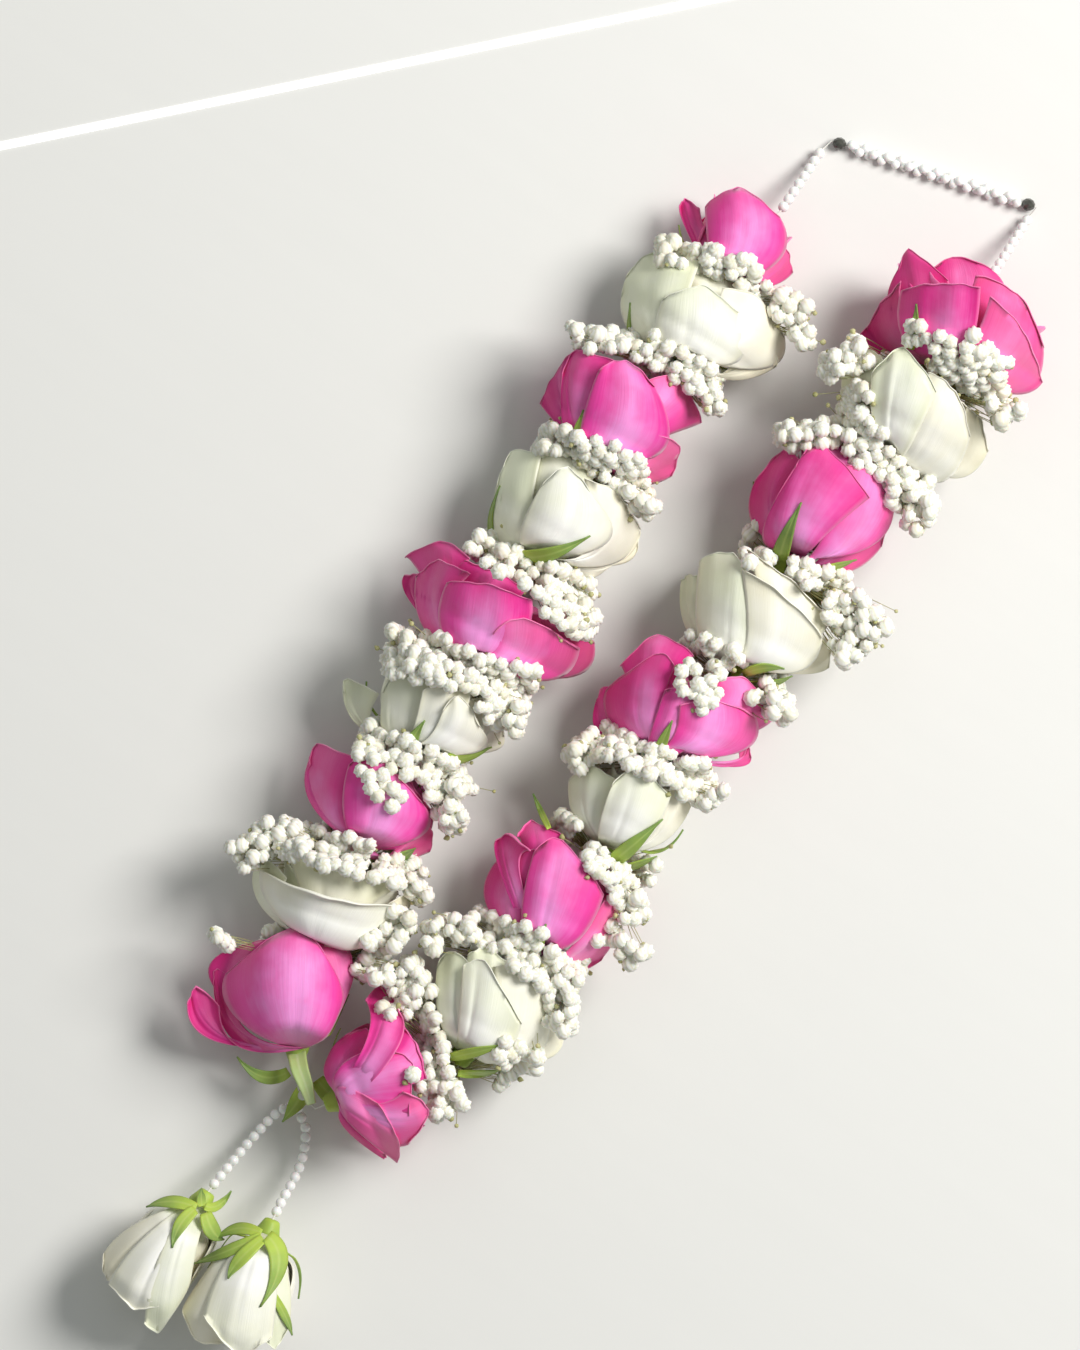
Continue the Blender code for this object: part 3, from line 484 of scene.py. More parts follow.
def petalSheet(rose, azimuth, spread, share, reach, rollMiddle, rollLeft, rollRight, columns, rows, wave,
               rng, point):
    # u runs from one side of a petal to the other and v from its root to its rim. The rim's height falls off
    # to the sides, with a small point in the middle. Above rollFrom the petal leaves the rose's profile and
    # rolls outwards on an arc.
    u = np.linspace(-1, 1, columns)[:, None]
    v = np.linspace(0, 1, rows)[None, :]
    lean = rng.uniform(-0.10, 0.10)
    outline = 1 - petals["shoulder"] * np.abs(u) ** 2.6 + point * np.exp(-((u / petals["pointWidth"]) ** 2))
    height = v * (outline + lean * u * 0.5)
    opening = rose.opening * share**1.3
    root = garland["petalRoot"] + (1 - share) * petals["rootStep"]
    start = petals["rollFrom"]
    line = rose.profile(np.minimum(height, start), share, reach, root, opening)
    ends = rose.profile(np.array((start - 0.01, start)), share, reach, root, opening)
    step = (ends[1] - ends[0]) / 0.01
    speed = np.linalg.norm(step)
    forward = step / speed
    outward = np.array((forward[1], -forward[0]))
    rollSide = np.where(u > 0, rollRight, rollLeft)
    roll = rollMiddle + (rollSide - rollMiddle) * np.abs(u) ** 1.7
    past = np.maximum(height - start, 0)
    angle = np.maximum(np.radians(roll) * past / (petals["rollTo"] - start), 1e-4)
    length = past * speed
    line = line + (length * np.sin(angle) / angle)[..., None] * forward
    line = line + (length * (1 - np.cos(angle)) / angle)[..., None] * outward
    rise = np.clip(height, 0, 1.1)
    ripple = np.sin(u * rng.uniform(3.0, 5.0) + rng.uniform(0, 6.28)) * rise**4
    ripple = ripple + 0.4 * np.sin(u * rng.uniform(8.0, 12.0) + rng.uniform(0, 6.28)) * rise**6
    crease = np.exp(-((u / petals["creaseWidth"]) ** 2)) * np.sin(np.clip(rise, 0, 1) * math.pi)
    overlap = petals["spiral"] * share * u * np.clip(rise * 3, 0, 1)
    rho = line[..., 0] + overlap + wave * ripple - petals["crease"] * crease
    side = np.clip((np.abs(u) - 0.72) / 0.28, 0, 1) ** 2 * np.clip((rise - 0.35) / 0.5, 0, 1)
    rho = rho + side * share * rollSide * 0.018
    width = 0.20 + 0.80 * np.sin(np.clip(rise / 0.72, 0, 1) * math.pi / 2)
    width = width - 0.20 * np.clip((rise - 0.72) / 0.28, 0, 1) ** 2
    sheet = rose.place(azimuth + u * spread * width, rho, line[..., 1] + wave * 0.5 * ripple)
    return keepOff(sheet, rose.name, (1 - share) * 3.0), rise, u * np.ones_like(v)


def keepOff(sheet, name, room):
    # Eases points off the surface below and off the plane where a neighbour lies against the rose.
    least, ease = petals["clear"] + room, petals["ease"]
    planes = [(np.zeros(3), worldUp)]
    if name in pressed:
        (x, y), (nx, ny) = pressed[name]
        planes.append((np.array((x, y, 0.0)), unit((nx, ny, 0.0))))
    for origin, direction in planes:
        off = (sheet - origin) @ direction
        eased = least + ease * np.exp(np.minimum(off - least - ease, 0) / ease)
        sheet = sheet + (np.where(off < least + ease, eased, off) - off)[..., None] * direction
    return sheet


shown = {
    "root": 5.5, "rootRadius": 5.6, "rootHalf": 3.6, "columns": 25, "rows": 18, "lipRows": 5, "swell": 1.2,
    "angular": 0.45, "lift": 1.35, "pleat": 0.34, "lipRadius": 0.42, "cover": 2.2, "wave": 0.28,
    "crease": 0.5, "lowest": 1.0,
}
# Each petal's level, lift, side curl and rim curl, then side, shoulder, tip, shoulder and side in the photo.
shownPetals = {
    "l1": ((0.5, -0.5, 1.5, 1.0, (688, 232), (680, 208), (685, 197), (700, 209), (708, 240)),
           (0.9, -0.4, 0.0, 0.5, (742, 282), (775, 240), (788, 251), (794, 271), (768, 286)),
           (1.0, 1.0, -0.6, 0.0, (707, 242), (705, 208), (737, 188), (779, 218), (781, 258))),
    "l2": ((0.7, -0.8, 0.0, 0.5, (660, 292), (662, 250), (708, 248), (752, 272), (738, 310)),
           (0.6, 0.0, 0.0, 0.6, (704, 380), (745, 350), (778, 346), (776, 366), (730, 380)),
           (0.95, 0.4, 0.5, 0.5, (626, 325), (626, 275), (655, 250), (700, 262), (680, 330)),
           (1.0, 0.7, 0.0, 0.8, (700, 335), (722, 290), (760, 300), (784, 335), (766, 368)),
           (1.0, 1.7, -0.6, 0.2, (655, 335), (662, 302), (700, 288), (738, 315), (738, 362))),
    "l3": ((0.6, -0.5, 0.8, 0.0, (556, 424), (540, 404), (555, 374), (572, 352), (570, 400)),
           (0.9, 0.6, 0.5, 1.0, (563, 428), (562, 376), (576, 352), (614, 364), (592, 402)),
           (0.9, 0.6, -1.0, 0.6, (636, 412), (646, 384), (680, 380), (699, 424), (668, 436)),
           (1.0, 1.0, 0.5, 1.0, (612, 466), (648, 432), (680, 446), (672, 476), (634, 484)),
           (1.0, 1.7, 0.4, 0.5, (582, 422), (598, 374), (624, 362), (653, 388), (664, 450))),
    "l4": ((0.8, -0.4, 0.0, 0.4, (525, 500), (535, 455), (560, 448), (592, 475), (582, 520)),
           (0.5, 0.0, 0.0, 0.4, (592, 578), (616, 525), (640, 530), (634, 556), (606, 566)),
           (0.9, 0.5, 0.4, 0.4, (494, 537), (498, 485), (511, 451), (542, 455), (532, 520)),
           (1.0, 0.8, 0.2, 0.8, (585, 552), (583, 478), (616, 492), (640, 528), (612, 564)),
           (1.0, 1.6, 0.0, 0.2, (521, 530), (542, 486), (568, 468), (594, 502), (608, 542))),
    "l5": ((0.6, -1.5, 0.6, 0.4, (412, 604), (404, 576), (418, 574), (430, 590), (428, 624)),
           (0.8, 0.0, 0.0, 0.8, (424, 580), (406, 558), (440, 543), (470, 560), (466, 592)),
           (0.8, 0.0, 0.0, 0.6, (450, 592), (466, 562), (492, 572), (527, 590), (512, 612)),
           (0.95, 0.6, 0.6, 0.6, (424, 628), (416, 576), (440, 560), (472, 575), (448, 622)),
           (1.0, 1.2, 0.0, 0.5, (440, 624), (448, 582), (485, 584), (532, 600), (522, 642)),
           (1.0, -1.4, 0.0, 1.2, (516, 650), (520, 614), (562, 614), (594, 640), (572, 677)),
           (1.0, 1.2, 0.4, 0.9, (488, 656), (494, 632), (524, 616), (580, 646), (552, 680))),
    "l6": ((0.4, 0.0, 0.5, 0.5, (358, 726), (344, 692), (347, 678), (380, 694), (376, 730)),
           (0.8, 0.0, 0.0, 0.8, (384, 740), (384, 690), (400, 668), (442, 680), (422, 738)),
           (0.8, 0.2, 0.0, 0.8, (470, 745), (465, 700), (492, 698), (504, 735), (490, 752)),
           (0.95, 0.6, 0.5, 0.6, (412, 736), (424, 690), (450, 680), (472, 692), (456, 732)),
           (1.0, 1.6, 0.0, 0.4, (428, 738), (444, 710), (460, 694), (480, 725), (482, 750))),
    "l7": ((0.8, 0.0, 0.0, 0.8, (384, 800), (385, 768), (410, 780), (432, 812), (420, 842)),
           (0.8, 0.2, 0.0, 0.6, (382, 858), (415, 822), (432, 826), (430, 852), (396, 860)),
           (0.9, 0.7, 0.8, 0.8, (310, 802), (311, 765), (317, 744), (366, 760), (345, 812)),
           (1.0, 1.4, 0.3, 0.4, (344, 806), (350, 764), (380, 758), (422, 800), (426, 832))),
    "l8": ((0.9, -1.6, 0.0, 0.5, (300, 885), (288, 858), (330, 860), (397, 888), (372, 905)),
           (0.9, 0.2, 0.3, 0.6, (260, 905), (255, 862), (265, 857), (288, 875), (286, 922)),
           (0.9, 0.2, 0.0, 0.6, (350, 942), (385, 905), (408, 894), (410, 914), (374, 944)),
           (1.0, 1.2, 0.4, 2.4, (268, 902), (262, 867), (335, 892), (405, 899), (370, 942))),
    "l9": ((0.35, 0.0, 2.0, 1.5, (210, 1040), (187, 1004), (196, 986), (219, 1005), (240, 1048)),
           (0.8, -1.2, 0.4, 0.5, (233, 1042), (212, 985), (216, 968), (236, 985), (246, 1030)),
           (0.9, -0.8, 0.0, 0.5, (214, 990), (220, 954), (260, 940), (298, 928), (250, 982)),
           (0.9, -0.8, 0.8, 0.6, (325, 986), (300, 930), (344, 943), (351, 962), (346, 1012)),
           (1.0, 2.0, -0.6, 0.0, (231, 1012), (225, 974), (297, 925), (336, 972), (343, 1017))),
    "r1": ((0.6, -1.5, 0.5, 0.0, (890, 312), (897, 278), (907, 252), (945, 285), (950, 315)),
           (0.5, -1.5, 0.0, 0.8, (915, 310), (926, 278), (950, 259), (988, 272), (1000, 312)),
           (0.9, -2.6, 0.9, 1.0, (876, 360), (859, 340), (880, 304), (899, 282), (906, 335)),
           (0.9, 0.2, 0.0, 1.0, (950, 340), (970, 280), (1012, 296), (1041, 345), (1024, 392)),
           (1.0, 1.0, 0.0, 0.8, (899, 338), (898, 292), (935, 287), (974, 291), (967, 348)),
           (1.0, 1.6, 1.0, 0.6, (962, 352), (984, 300), (1022, 338), (1043, 382), (1010, 394))),
    "r2": ((0.6, 0.0, 0.0, 0.6, (934, 482), (955, 400), (978, 416), (988, 450), (956, 478)),
           (0.8, 0.3, 0.0, 0.6, (848, 422), (842, 367), (865, 348), (887, 370), (877, 432)),
           (1.0, 0.9, 0.0, 0.6, (894, 452), (925, 372), (952, 392), (968, 435), (942, 482)),
           (1.0, 1.8, 0.2, 0.4, (870, 424), (869, 376), (900, 350), (932, 394), (906, 450))),
    "r3": ((0.8, -0.6, 0.0, 0.4, (800, 462), (794, 448), (822, 442), (862, 460), (862, 482)),
           (0.7, 0.0, 0.0, 0.4, (800, 572), (850, 526), (884, 510), (882, 546), (846, 572)),
           (0.9, -0.8, 0.8, 0.8, (752, 522), (755, 480), (784, 450), (802, 465), (776, 512)),
           (1.0, 0.9, 0.0, 0.8, (812, 552), (845, 464), (882, 478), (893, 506), (871, 546)),
           (1.0, 1.8, 0.6, 0.2, (762, 532), (794, 468), (820, 444), (866, 500), (826, 534))),
    "r4": ((0.6, 0.0, 0.4, 0.4, (688, 632), (681, 580), (690, 574), (704, 578), (706, 632)),
           (0.6, 0.0, 0.0, 0.4, (782, 670), (815, 630), (829, 644), (830, 668), (800, 674)),
           (0.9, 0.0, 0.0, 1.2, (752, 602), (745, 550), (785, 578), (824, 614), (812, 642)),
           (1.0, 0.9, 0.3, 0.6, (698, 642), (699, 560), (732, 553), (758, 600), (748, 662)),
           (1.0, 1.4, 0.2, 1.6, (744, 642), (739, 565), (785, 596), (822, 634), (802, 670))),
    "r5": ((0.7, 0.0, 0.4, 0.4, (601, 737), (597, 702), (604, 686), (626, 688), (622, 737)),
           (0.8, 0.0, 0.4, 0.4, (628, 682), (620, 666), (657, 635), (692, 657), (672, 692)),
           (0.5, 0.4, 0.8, 1.0, (725, 767), (737, 746), (746, 739), (750, 756), (733, 767)),
           (0.95, 0.5, 0.0, 0.8, (704, 712), (708, 686), (740, 676), (766, 704), (762, 728)),
           (0.95, 0.6, 0.0, 0.5, (610, 724), (606, 690), (654, 653), (674, 665), (658, 724)),
           (1.0, 1.0, 0.3, 0.6, (648, 738), (664, 688), (690, 686), (717, 700), (692, 742)),
           (1.0, 1.8, 0.3, 0.8, (670, 738), (678, 704), (712, 698), (755, 714), (744, 750))),
    "r6": ((0.8, 0.3, 0.0, 0.5, (574, 817), (569, 780), (590, 764), (617, 780), (602, 822)),
           (0.8, 0.3, 0.0, 0.5, (640, 842), (660, 788), (681, 789), (690, 806), (662, 842)),
           (1.0, 1.5, 0.3, 0.4, (599, 822), (611, 784), (635, 768), (670, 795), (647, 838))),
    "r7": ((0.8, 0.0, 0.0, 0.6, (524, 862), (519, 838), (532, 822), (562, 836), (562, 868)),
           (0.6, 0.0, 0.0, 0.5, (545, 967), (592, 940), (612, 934), (602, 961), (570, 972)),
           (0.9, 0.5, 0.4, 0.6, (486, 904), (498, 860), (520, 850), (541, 846), (522, 917)),
           (1.0, 0.9, 0.0, 0.6, (554, 960), (604, 898), (617, 905), (614, 941), (586, 967)),
           (0.9, 1.6, 1.6, 1.8, (500, 872), (495, 842), (510, 834), (532, 850), (520, 872)),
           (1.0, 1.7, 0.0, 0.3, (522, 907), (534, 850), (562, 838), (604, 893), (580, 937))),
    "r8": ((0.7, 0.0, 0.0, 0.6, (505, 1045), (518, 962), (548, 982), (562, 1025), (548, 1060)),
           (0.95, 0.4, 0.0, 0.6, (488, 1045), (494, 962), (528, 968), (550, 1014), (532, 1062)),
           (0.9, 0.2, 0.0, 0.6, (462, 1000), (468, 955), (488, 946), (515, 968), (505, 1010)),
           (0.9, 0.6, 0.0, 0.6, (438, 1012), (438, 962), (455, 950), (482, 975), (472, 1022)),
           (1.0, 1.5, 0.3, 0.8, (460, 1012), (463, 966), (485, 958), (522, 1020), (502, 1058))),
    "r9": ((0.7, -0.5, 0.0, 0.4, (324, 1062), (345, 1036), (366, 1027), (378, 1045), (352, 1076)),
           (0.4, 0.0, 0.4, 0.6, (343, 1108), (362, 1124), (386, 1152), (384, 1160), (345, 1128)),
           (0.9, 0.4, 0.0, 0.8, (394, 1042), (396, 1016), (416, 1040), (427, 1076), (410, 1082)),
           (1.0, 0.9, 0.2, 0.6, (343, 1062), (385, 1043), (414, 1060), (410, 1112), (364, 1107)),
           (1.0, 1.4, 2.0, 1.2, (368, 1036), (366, 1000), (384, 988), (401, 1012), (397, 1048)),
           (1.0, 1.0, 0.6, 1.0, (376, 1100), (404, 1087), (430, 1106), (410, 1142), (386, 1140)),
           (0.95, 1.8, 0.8, 1.0, (348, 1084), (380, 1100), (400, 1136), (398, 1164), (361, 1131))),
    "tassel_left": ((0.9, 0.4, 0.4, 0.6, (160, 1240), (130, 1278), (107, 1280), (103, 1254), (135, 1224)),
                    (1.0, 0.9, 0.2, 0.8, (172, 1262), (162, 1302), (136, 1306), (110, 1282), (140, 1240)),
                    (1.0, 1.5, 0.2, 0.8, (194, 1265), (190, 1304), (172, 1339), (145, 1322), (160, 1255))),
    "tassel_right": ((0.9, 0.3, 0.2, 0.6, (289, 1275), (290, 1322), (276, 1348), (262, 1332), (262, 1280)),
                     (0.95, 0.6, 0.2, 0.8, (240, 1290), (226, 1338), (196, 1338), (178, 1292), (205, 1262)),
                     (1.0, 1.5, 0.2, 0.8, (279, 1272), (273, 1334), (240, 1352), (206, 1312), (224, 1264))),
}


body = {"foot": 3.0, "belly": 0.44, "around": 1.03, "leastRadius": 5.0, "bend": 0.85, "deepest": -0.25}


def bodyHeight(rose, run, lateral):
    # Height of a rose's body over its axis: a half circle across the axis, and a slope past its bend.
    foot, bend = body["foot"], body["bend"]
    belly = body["belly"] * rose.height
    last = rose.bellyAlong[-1]
    full = np.interp(belly, rose.bellyAlong, rose.bellyRho)
    low = full * np.sin(np.clip((run + foot) / (belly + foot), 0.06, 1) * math.pi / 2) ** 0.7
    high = np.interp(run, rose.bellyAlong, rose.bellyRho)
    end = rose.bellyRho[-1] - np.maximum(run - last, 0) * (1.1 - 0.9 * rose.opening)
    rho = body["around"] * np.maximum(np.where(run < belly, low, np.where(run > last, end, high)),
                                      body["leastRadius"])
    share = np.abs(lateral) / rho
    slope = np.sqrt(1 - bend**2) - (share - bend) * bend / np.sqrt(1 - bend**2)
    height = np.where(share < bend, np.sqrt(np.maximum(1 - np.minimum(share, bend) ** 2, 0)), slope)
    return rho * np.maximum(height, body["deepest"])


def through(a, b, c, t):
    # The parabola that passes a, b and c at t = 0, 0.5 and 1.
    t = t[..., None]
    return a * (1 - t) * (1 - 2 * t) + b * 4 * t * (1 - t) + c * t * (2 * t - 1)


def shownSheet(rose, petal, rng):
    # A petal between four curves of the photo, laid on the rose's body: u across and v from root to rim. Its
    # edges curl up or under, and its rim turns back in a small lip.
    level, lift, sideCurl, rimCurl, *marks = petal
    sideA, shoulderA, tip, shoulderB, sideB = planOf(*np.array(marks, float).T)
    flatAxis, flatSide = unit(rose.axis[:2]), rose.side[:2]
    root = rose.base[:2] + flatAxis * shown["root"]
    lean = np.sign((sideA - sideB) @ flatSide)
    rootA, rootB = root + flatSide * shown["rootHalf"] * lean, root - flatSide * shown["rootHalf"] * lean
    u = np.linspace(0, 1, shown["columns"])[:, None]
    lip = shown["lipRadius"] * (0.6 + rimCurl)
    reach = np.linalg.norm(tip - root)
    v = np.append(np.linspace(0, 1 - lip / reach, shown["rows"]), np.ones(shown["lipRows"]))[None, :]
    straight = np.where(u[..., None] < 0.5, shoulderA + (tip - shoulderA) * 2 * u[..., None],
                        tip + (shoulderB - tip) * (2 * u[..., None] - 1))
    rim = through(shoulderA, tip, shoulderB, u) * (1 - shown["angular"]) + straight * shown["angular"]
    outward = unit(rim - root)
    wavy = np.sin(u * rng.uniform(9, 14) + rng.uniform(0, 6)) + 0.6 * np.sin(u * rng.uniform(20, 28))
    rim = rim + outward * (shown["wave"] * wavy)[..., None]
    bottom = rootA + (rootB - rootA) * u[..., None]
    left, right = through(rootA, sideA, shoulderA, v), through(rootB, sideB, shoulderB, v)
    u3, v3 = u[..., None], v[..., None]
    flat = (1 - v3) * bottom + v3 * rim + (1 - u3) * left + u3 * right
    flat -= (1 - u3) * ((1 - v3) * rootA + v3 * shoulderA) + u3 * ((1 - v3) * rootB + v3 * shoulderB)
    flat[:, shown["rows"]:] = flat[:, shown["rows"] - 1:shown["rows"]]
    across = 2 * u - 1
    away = flat - rose.base[:2]
    run = away @ flatAxis
    height = bodyHeight(rose, run, away @ flatSide) * level
    rooted = np.clip(v / 0.22, 0, 1)
    height = (1 - rooted) * np.minimum(height, shown["rootRadius"]) + rooted * height
    swell = shown["swell"] * np.sin(v * math.pi * 0.9) * (1 - across**2)
    curl = sideCurl * np.clip((np.abs(across) - 0.55) / 0.45, 0, 1) ** 2
    curl = curl * np.sin(np.clip(v * 1.2, 0, 1) * 1.57)
    curl = curl + 0.6 * rimCurl * np.clip((v - 0.72) / 0.28, 0, 1) ** 2
    ripple = np.sin(across * rng.uniform(5, 8) + rng.uniform(0, 6)) * v
    ripple = ripple + 0.5 * np.sin(across * rng.uniform(8, 11) + v * rng.uniform(-3, 3)) * v**2
    crease = np.exp(-(((across - rng.uniform(-0.3, 0.3)) / 0.10) ** 2)) * np.sin(v * math.pi)
    z = rose.base[2] + rose.axis[2] * run + height + lift * shown["lift"] * np.clip(v * 4, 0, 1)
    z = z + swell + curl - shown["crease"] * crease + shown["pleat"] * ripple
    z = np.maximum(z, shown["lowest"])
    sheet = np.concatenate([flat, z[..., None]], axis=-1)
    turnBack = np.zeros(v.shape[1])
    turnBack[shown["rows"]:] = np.linspace(0.35, 2.5, shown["lipRows"])
    slope = unit(sheet[:, shown["rows"] - 1] - sheet[:, shown["rows"] - 2])[:, None]
    rise = unit(worldUp - slope * (slope @ worldUp)[..., None])
    lip = lip * (0.75 + 0.25 * np.cos(across * rng.uniform(2, 5) + rng.uniform(0, 6)))[..., None]
    sheet = sheet + lip * np.sin(turnBack)[:, None] * slope + lip * (1 - np.cos(turnBack))[:, None] * rise
    v = np.append(np.linspace(0, 0.94, shown["rows"]), np.linspace(0.95, 1.0, shown["lipRows"]))[None, :]
    if gridNormals(sheet)[..., 2].mean() < 0:
        sheet = sheet[::-1]
    return keepOff(sheet, rose.name, 0.0), v * np.ones_like(u), across * np.ones_like(v)


def makeBloom(rose):
    # The petals that the photo shows, then rings of petals round the axis, but for the outermost on top.
    rng = np.random.default_rng(sum(map(ord, rose.name)) * 7 + 3)
    heap = Heap()
    within = petals["within"]
    for petal in shownPetals[rose.name]:
        # For a shown petal, chance is its side across the rose, so the side away from the lamp takes the
        # painted shade tint. The lower the petal lies, the more painted shade it gets.
        lateral = (planOf(*petal[6]) - rose.base[:2]) @ rose.side[:2] / rose.radius
        heap.addSheet(shownSheet(rose, petal, rng), petals["thickness"],
                      chance=np.clip(0.5 + 0.55 * lateral + rng.uniform(-0.1, 0.1), 0, 1),
                      depth=np.clip(0.22 - petal[1] * 0.14, 0, 0.5))
    for level, layer in enumerate(petals["layers"]):
        count, share, reach, spread, middle, sides, columns, rows, wave = layer
        for k in range(count):
            azimuth = rose.turn + level * petals["layerTurn"] + 2 * math.pi * k / count
            azimuth += rng.uniform(-0.12, 0.12)
            if level < 2 and math.cos(azimuth) > petals["topFree"][level]:
                continue
            made = petalSheet(
                rose, azimuth, math.radians(spread) * rng.uniform(0.93, 1.05), share * within,
                reach * within * rng.uniform(0.97, 1.02), middle * rng.uniform(0.6, 1.4),
                sides * rng.uniform(0.5, 1.3) * (0.2 + rose.opening),
                sides * rng.uniform(0.5, 1.3) * (0.2 + rose.opening),
                columns, rows, wave * rng.uniform(0.6, 1.3), rng, rng.uniform(0.0, 0.09))
            # Inner rings lie in more painted shade, and their tone is random.
            heap.addSheet(made, petals["thickness"], chance=rng.uniform(),
                          depth=level / (len(petals["layers"]) - 1))
    heap.make("petals_" + rose.name, rose.colour + "_petal", "bloom_" + rose.name, [rose.colour])


for rose in blooms.values():
    makeBloom(rose)
print("blooms made:", len(blooms))


# Calyxes: hip and sepals

calyx = {
    "hip": ((-0.2, 2.2), (0.3, 3.0), (2.4, 3.8), (5.0, 4.7), (7.0, 4.6), (8.6, 4.0)),  # height and radius
    "hipEnds": (-0.3, 8.6), "sides": 20, "ribs": 0.03, "sepals": 5, "width": 5.6, "lift": 1.5, "reach": 0.62,
    "curl": 9.0, "thickness": 0.4, "columns": 7, "rows": 18, "lowest": 0.6,
}


def hipRings(rose):
    # A turned form on the rose's axis: the hip's stations joined by a smooth line, with five faint ribs.
    stations = np.array(calyx["hip"])
    path = smoothRoute(np.column_stack([stations, np.zeros(len(stations))]), 12)
    rows, sides = len(path), calyx["sides"]
    azimuth = np.arange(sides) * 2 * math.pi / sides
    ribs = 1 + calyx["ribs"] * np.cos(calyx["sepals"] * (azimuth - rose.turn))[:, None]
    rings = rose.place(azimuth[:, None], path[:, 1] * ribs, path[:, 0])
    ends = [rose.base + rose.axis * end for end in calyx["hipEnds"]]
    height = np.append(np.tile(np.linspace(0, 0.6, rows), sides), (0.0, 0.6))
    return np.concatenate([rings.reshape(-1, 3), ends]), closedFaces(sides, rows), height


def sepalSheet(rose, azimuth, reach, curl, rng):
    # A leaf along the petals: u across, v from root to tip. Its width swells and tapers to a long point, its
    # sides fold up a little, and its tip lifts off the petals by the curl.
    u = np.linspace(-1, 1, calyx["columns"])[:, None]
    v = np.linspace(0, 1, calyx["rows"])[None, :]
    width = (0.55 + 1.1 * v - 1.65 * v**2 + 0.25 * (1 - v) ** 4) * (1 - v**3)
    width = calyx["width"] / 2 * width + 0.12
    t = 0.06 + v * reach
    line = rose.profile(t)
    ahead = rose.profile(t + 0.01) - line
    out = unit(np.stack([ahead[..., 1], -ahead[..., 0]], axis=-1))
    lift = calyx["lift"] * np.clip(v * 3, 0.5, 1) + curl * np.clip(v - 0.35, 0, 1) ** 2 + 0.5 * u**2
    line = line + out * lift[..., None]
    rho = np.maximum(line[..., 0], 4.6)
    sway = rng.uniform(-0.10, 0.10) * v**2
    sheet = rose.place(azimuth + sway + u * width / rho, rho, line[..., 1])
    return keepOff(sheet, rose.name, 0.0), v * np.ones_like(u), u * np.ones_like(v)


shownSepals = {  # of each: root, middle and tip in the photo, width and lift
    "l2": [((650, 362), (632, 345), (630, 303), 2.8, 1.2)],
    "l3": [((577, 446), (580, 430), (583, 412), 5.0, 1.4)],
    "l4": [((520, 556), (550, 555), (590, 537), 5.6, 3.4),
           ((514, 562), (491, 532), (500, 486), 2.4, 1.0)],
    "l6": [((409, 752), (414, 738), (426, 720), 4.6, 1.6),
           ((440, 758), (464, 757), (492, 747), 4.4, 1.0)],
    "l7": [((392, 864), (404, 856), (416, 848), 4.0, 1.0)],
    "l9": [((288, 1072), (262, 1078), (236, 1058), 5.4, -2.0),
           ((308, 1084), (296, 1104), (281, 1124), 7.0, -9.0),
           ((316, 1082), (336, 1101), (353, 1097), 8.0, -9.0)],
    "r1": [((908, 352), (911, 330), (912, 308), 3.0, 2.4)],
    "r3": [((778, 574), (782, 545), (799, 504), 6.4, 3.4),
           ((796, 578), (828, 569), (856, 560), 3.2, 1.0)],
    "r4": [((742, 674), (762, 668), (783, 669), 3.6, 2.8),
           ((748, 684), (770, 684), (792, 676), 3.0, 1.0)],
    "r5": [((657, 754), (662, 740), (671, 720), 4.2, 3.2),
           ((668, 770), (688, 766), (706, 760), 3.0, 1.0)],
    "r6": [((611, 862), (630, 846), (662, 818), 6.4, 3.2),
           ((616, 872), (636, 865), (657, 856), 3.2, 1.4)],
    "r7": [((533, 957), (540, 938), (546, 922), 4.2, 3.0),
           ((549, 828), (541, 812), (533, 794), 2.4, 0.0)],
    "r8": [((450, 1056), (475, 1050), (506, 1042), 4.2, 3.0),
           ((458, 1073), (480, 1074), (502, 1069), 3.4, 1.4)],
    "tassel_left": [((197, 1207), (172, 1201), (146, 1207), 4.6, 1.4),
                    ((196, 1208), (181, 1224), (174, 1245), 5.4, 2.6),
                    ((205, 1206), (218, 1206), (230, 1193), 3.6, -1.0),
                    ((206, 1212), (214, 1232), (224, 1240), 6.0, 0.6),
                    ((202, 1206), (201, 1198), (201, 1189), 3.4, -1.0)],
    "tassel_right": [((262, 1232), (238, 1228), (214, 1240), 4.0, 0.6),
                     ((262, 1234), (226, 1250), (193, 1264), 4.4, 2.0),
                     ((264, 1236), (240, 1258), (230, 1275), 5.4, 3.0),
                     ((268, 1234), (280, 1262), (262, 1303), 7.2, 3.0),
                     ((274, 1290), (286, 1316), (292, 1336), 3.0, 1.4)],
}


def shownSepal(rose, root, middle, tip, width, lift):
    # A leaf along a curve of the photo, laid on the petals: its sides fold up a little and its tip is long.
    ends = planOf(*np.array((root, middle, tip), float).T)
    u = np.linspace(-1, 1, calyx["columns"])[:, None]
    v = np.linspace(0, 1, calyx["rows"])
    path = through(*ends, v)
    way = unit(np.gradient(path, axis=0))
    half = width / 2 * (0.62 + 1.5 * v - 1.9 * v**2) * (1 - v**4) + 0.14
    flat = path + (u * half)[..., None] * np.stack([-way[:, 1], way[:, 0]], axis=-1)
    away = flat - rose.base[:2]
    run, lateral = away @ unit(rose.axis[:2]), away @ rose.side[:2]
    height = np.minimum(bodyHeight(rose, run, lateral), 6.5 + np.maximum(run - 1.0, 0) * 2.6)
    z = rose.base[2] + rose.axis[2] * run + height + lift + 0.35 * u**2 + 0.3 * v
    sheet = np.concatenate([flat, np.maximum(z, calyx["lowest"])[..., None]], axis=-1)
    if gridNormals(sheet)[..., 2].mean() < 0:
        sheet, u = sheet[::-1], u[::-1]
    return sheet, v * np.ones_like(u), u * np.ones_like(v)


strap = {
    "route": ((-18.6, -150.9, 25.6), (-14.5, -154.8, 29.8), (-9.0, -158.8, 31.0), (-3.4, -163.6, 29.5)),
    "width": (7.0, 6.6, 5.4, 3.2), "hollow": 0.5, "thickness": 0.9, "columns": 9, "rows": 30,
}


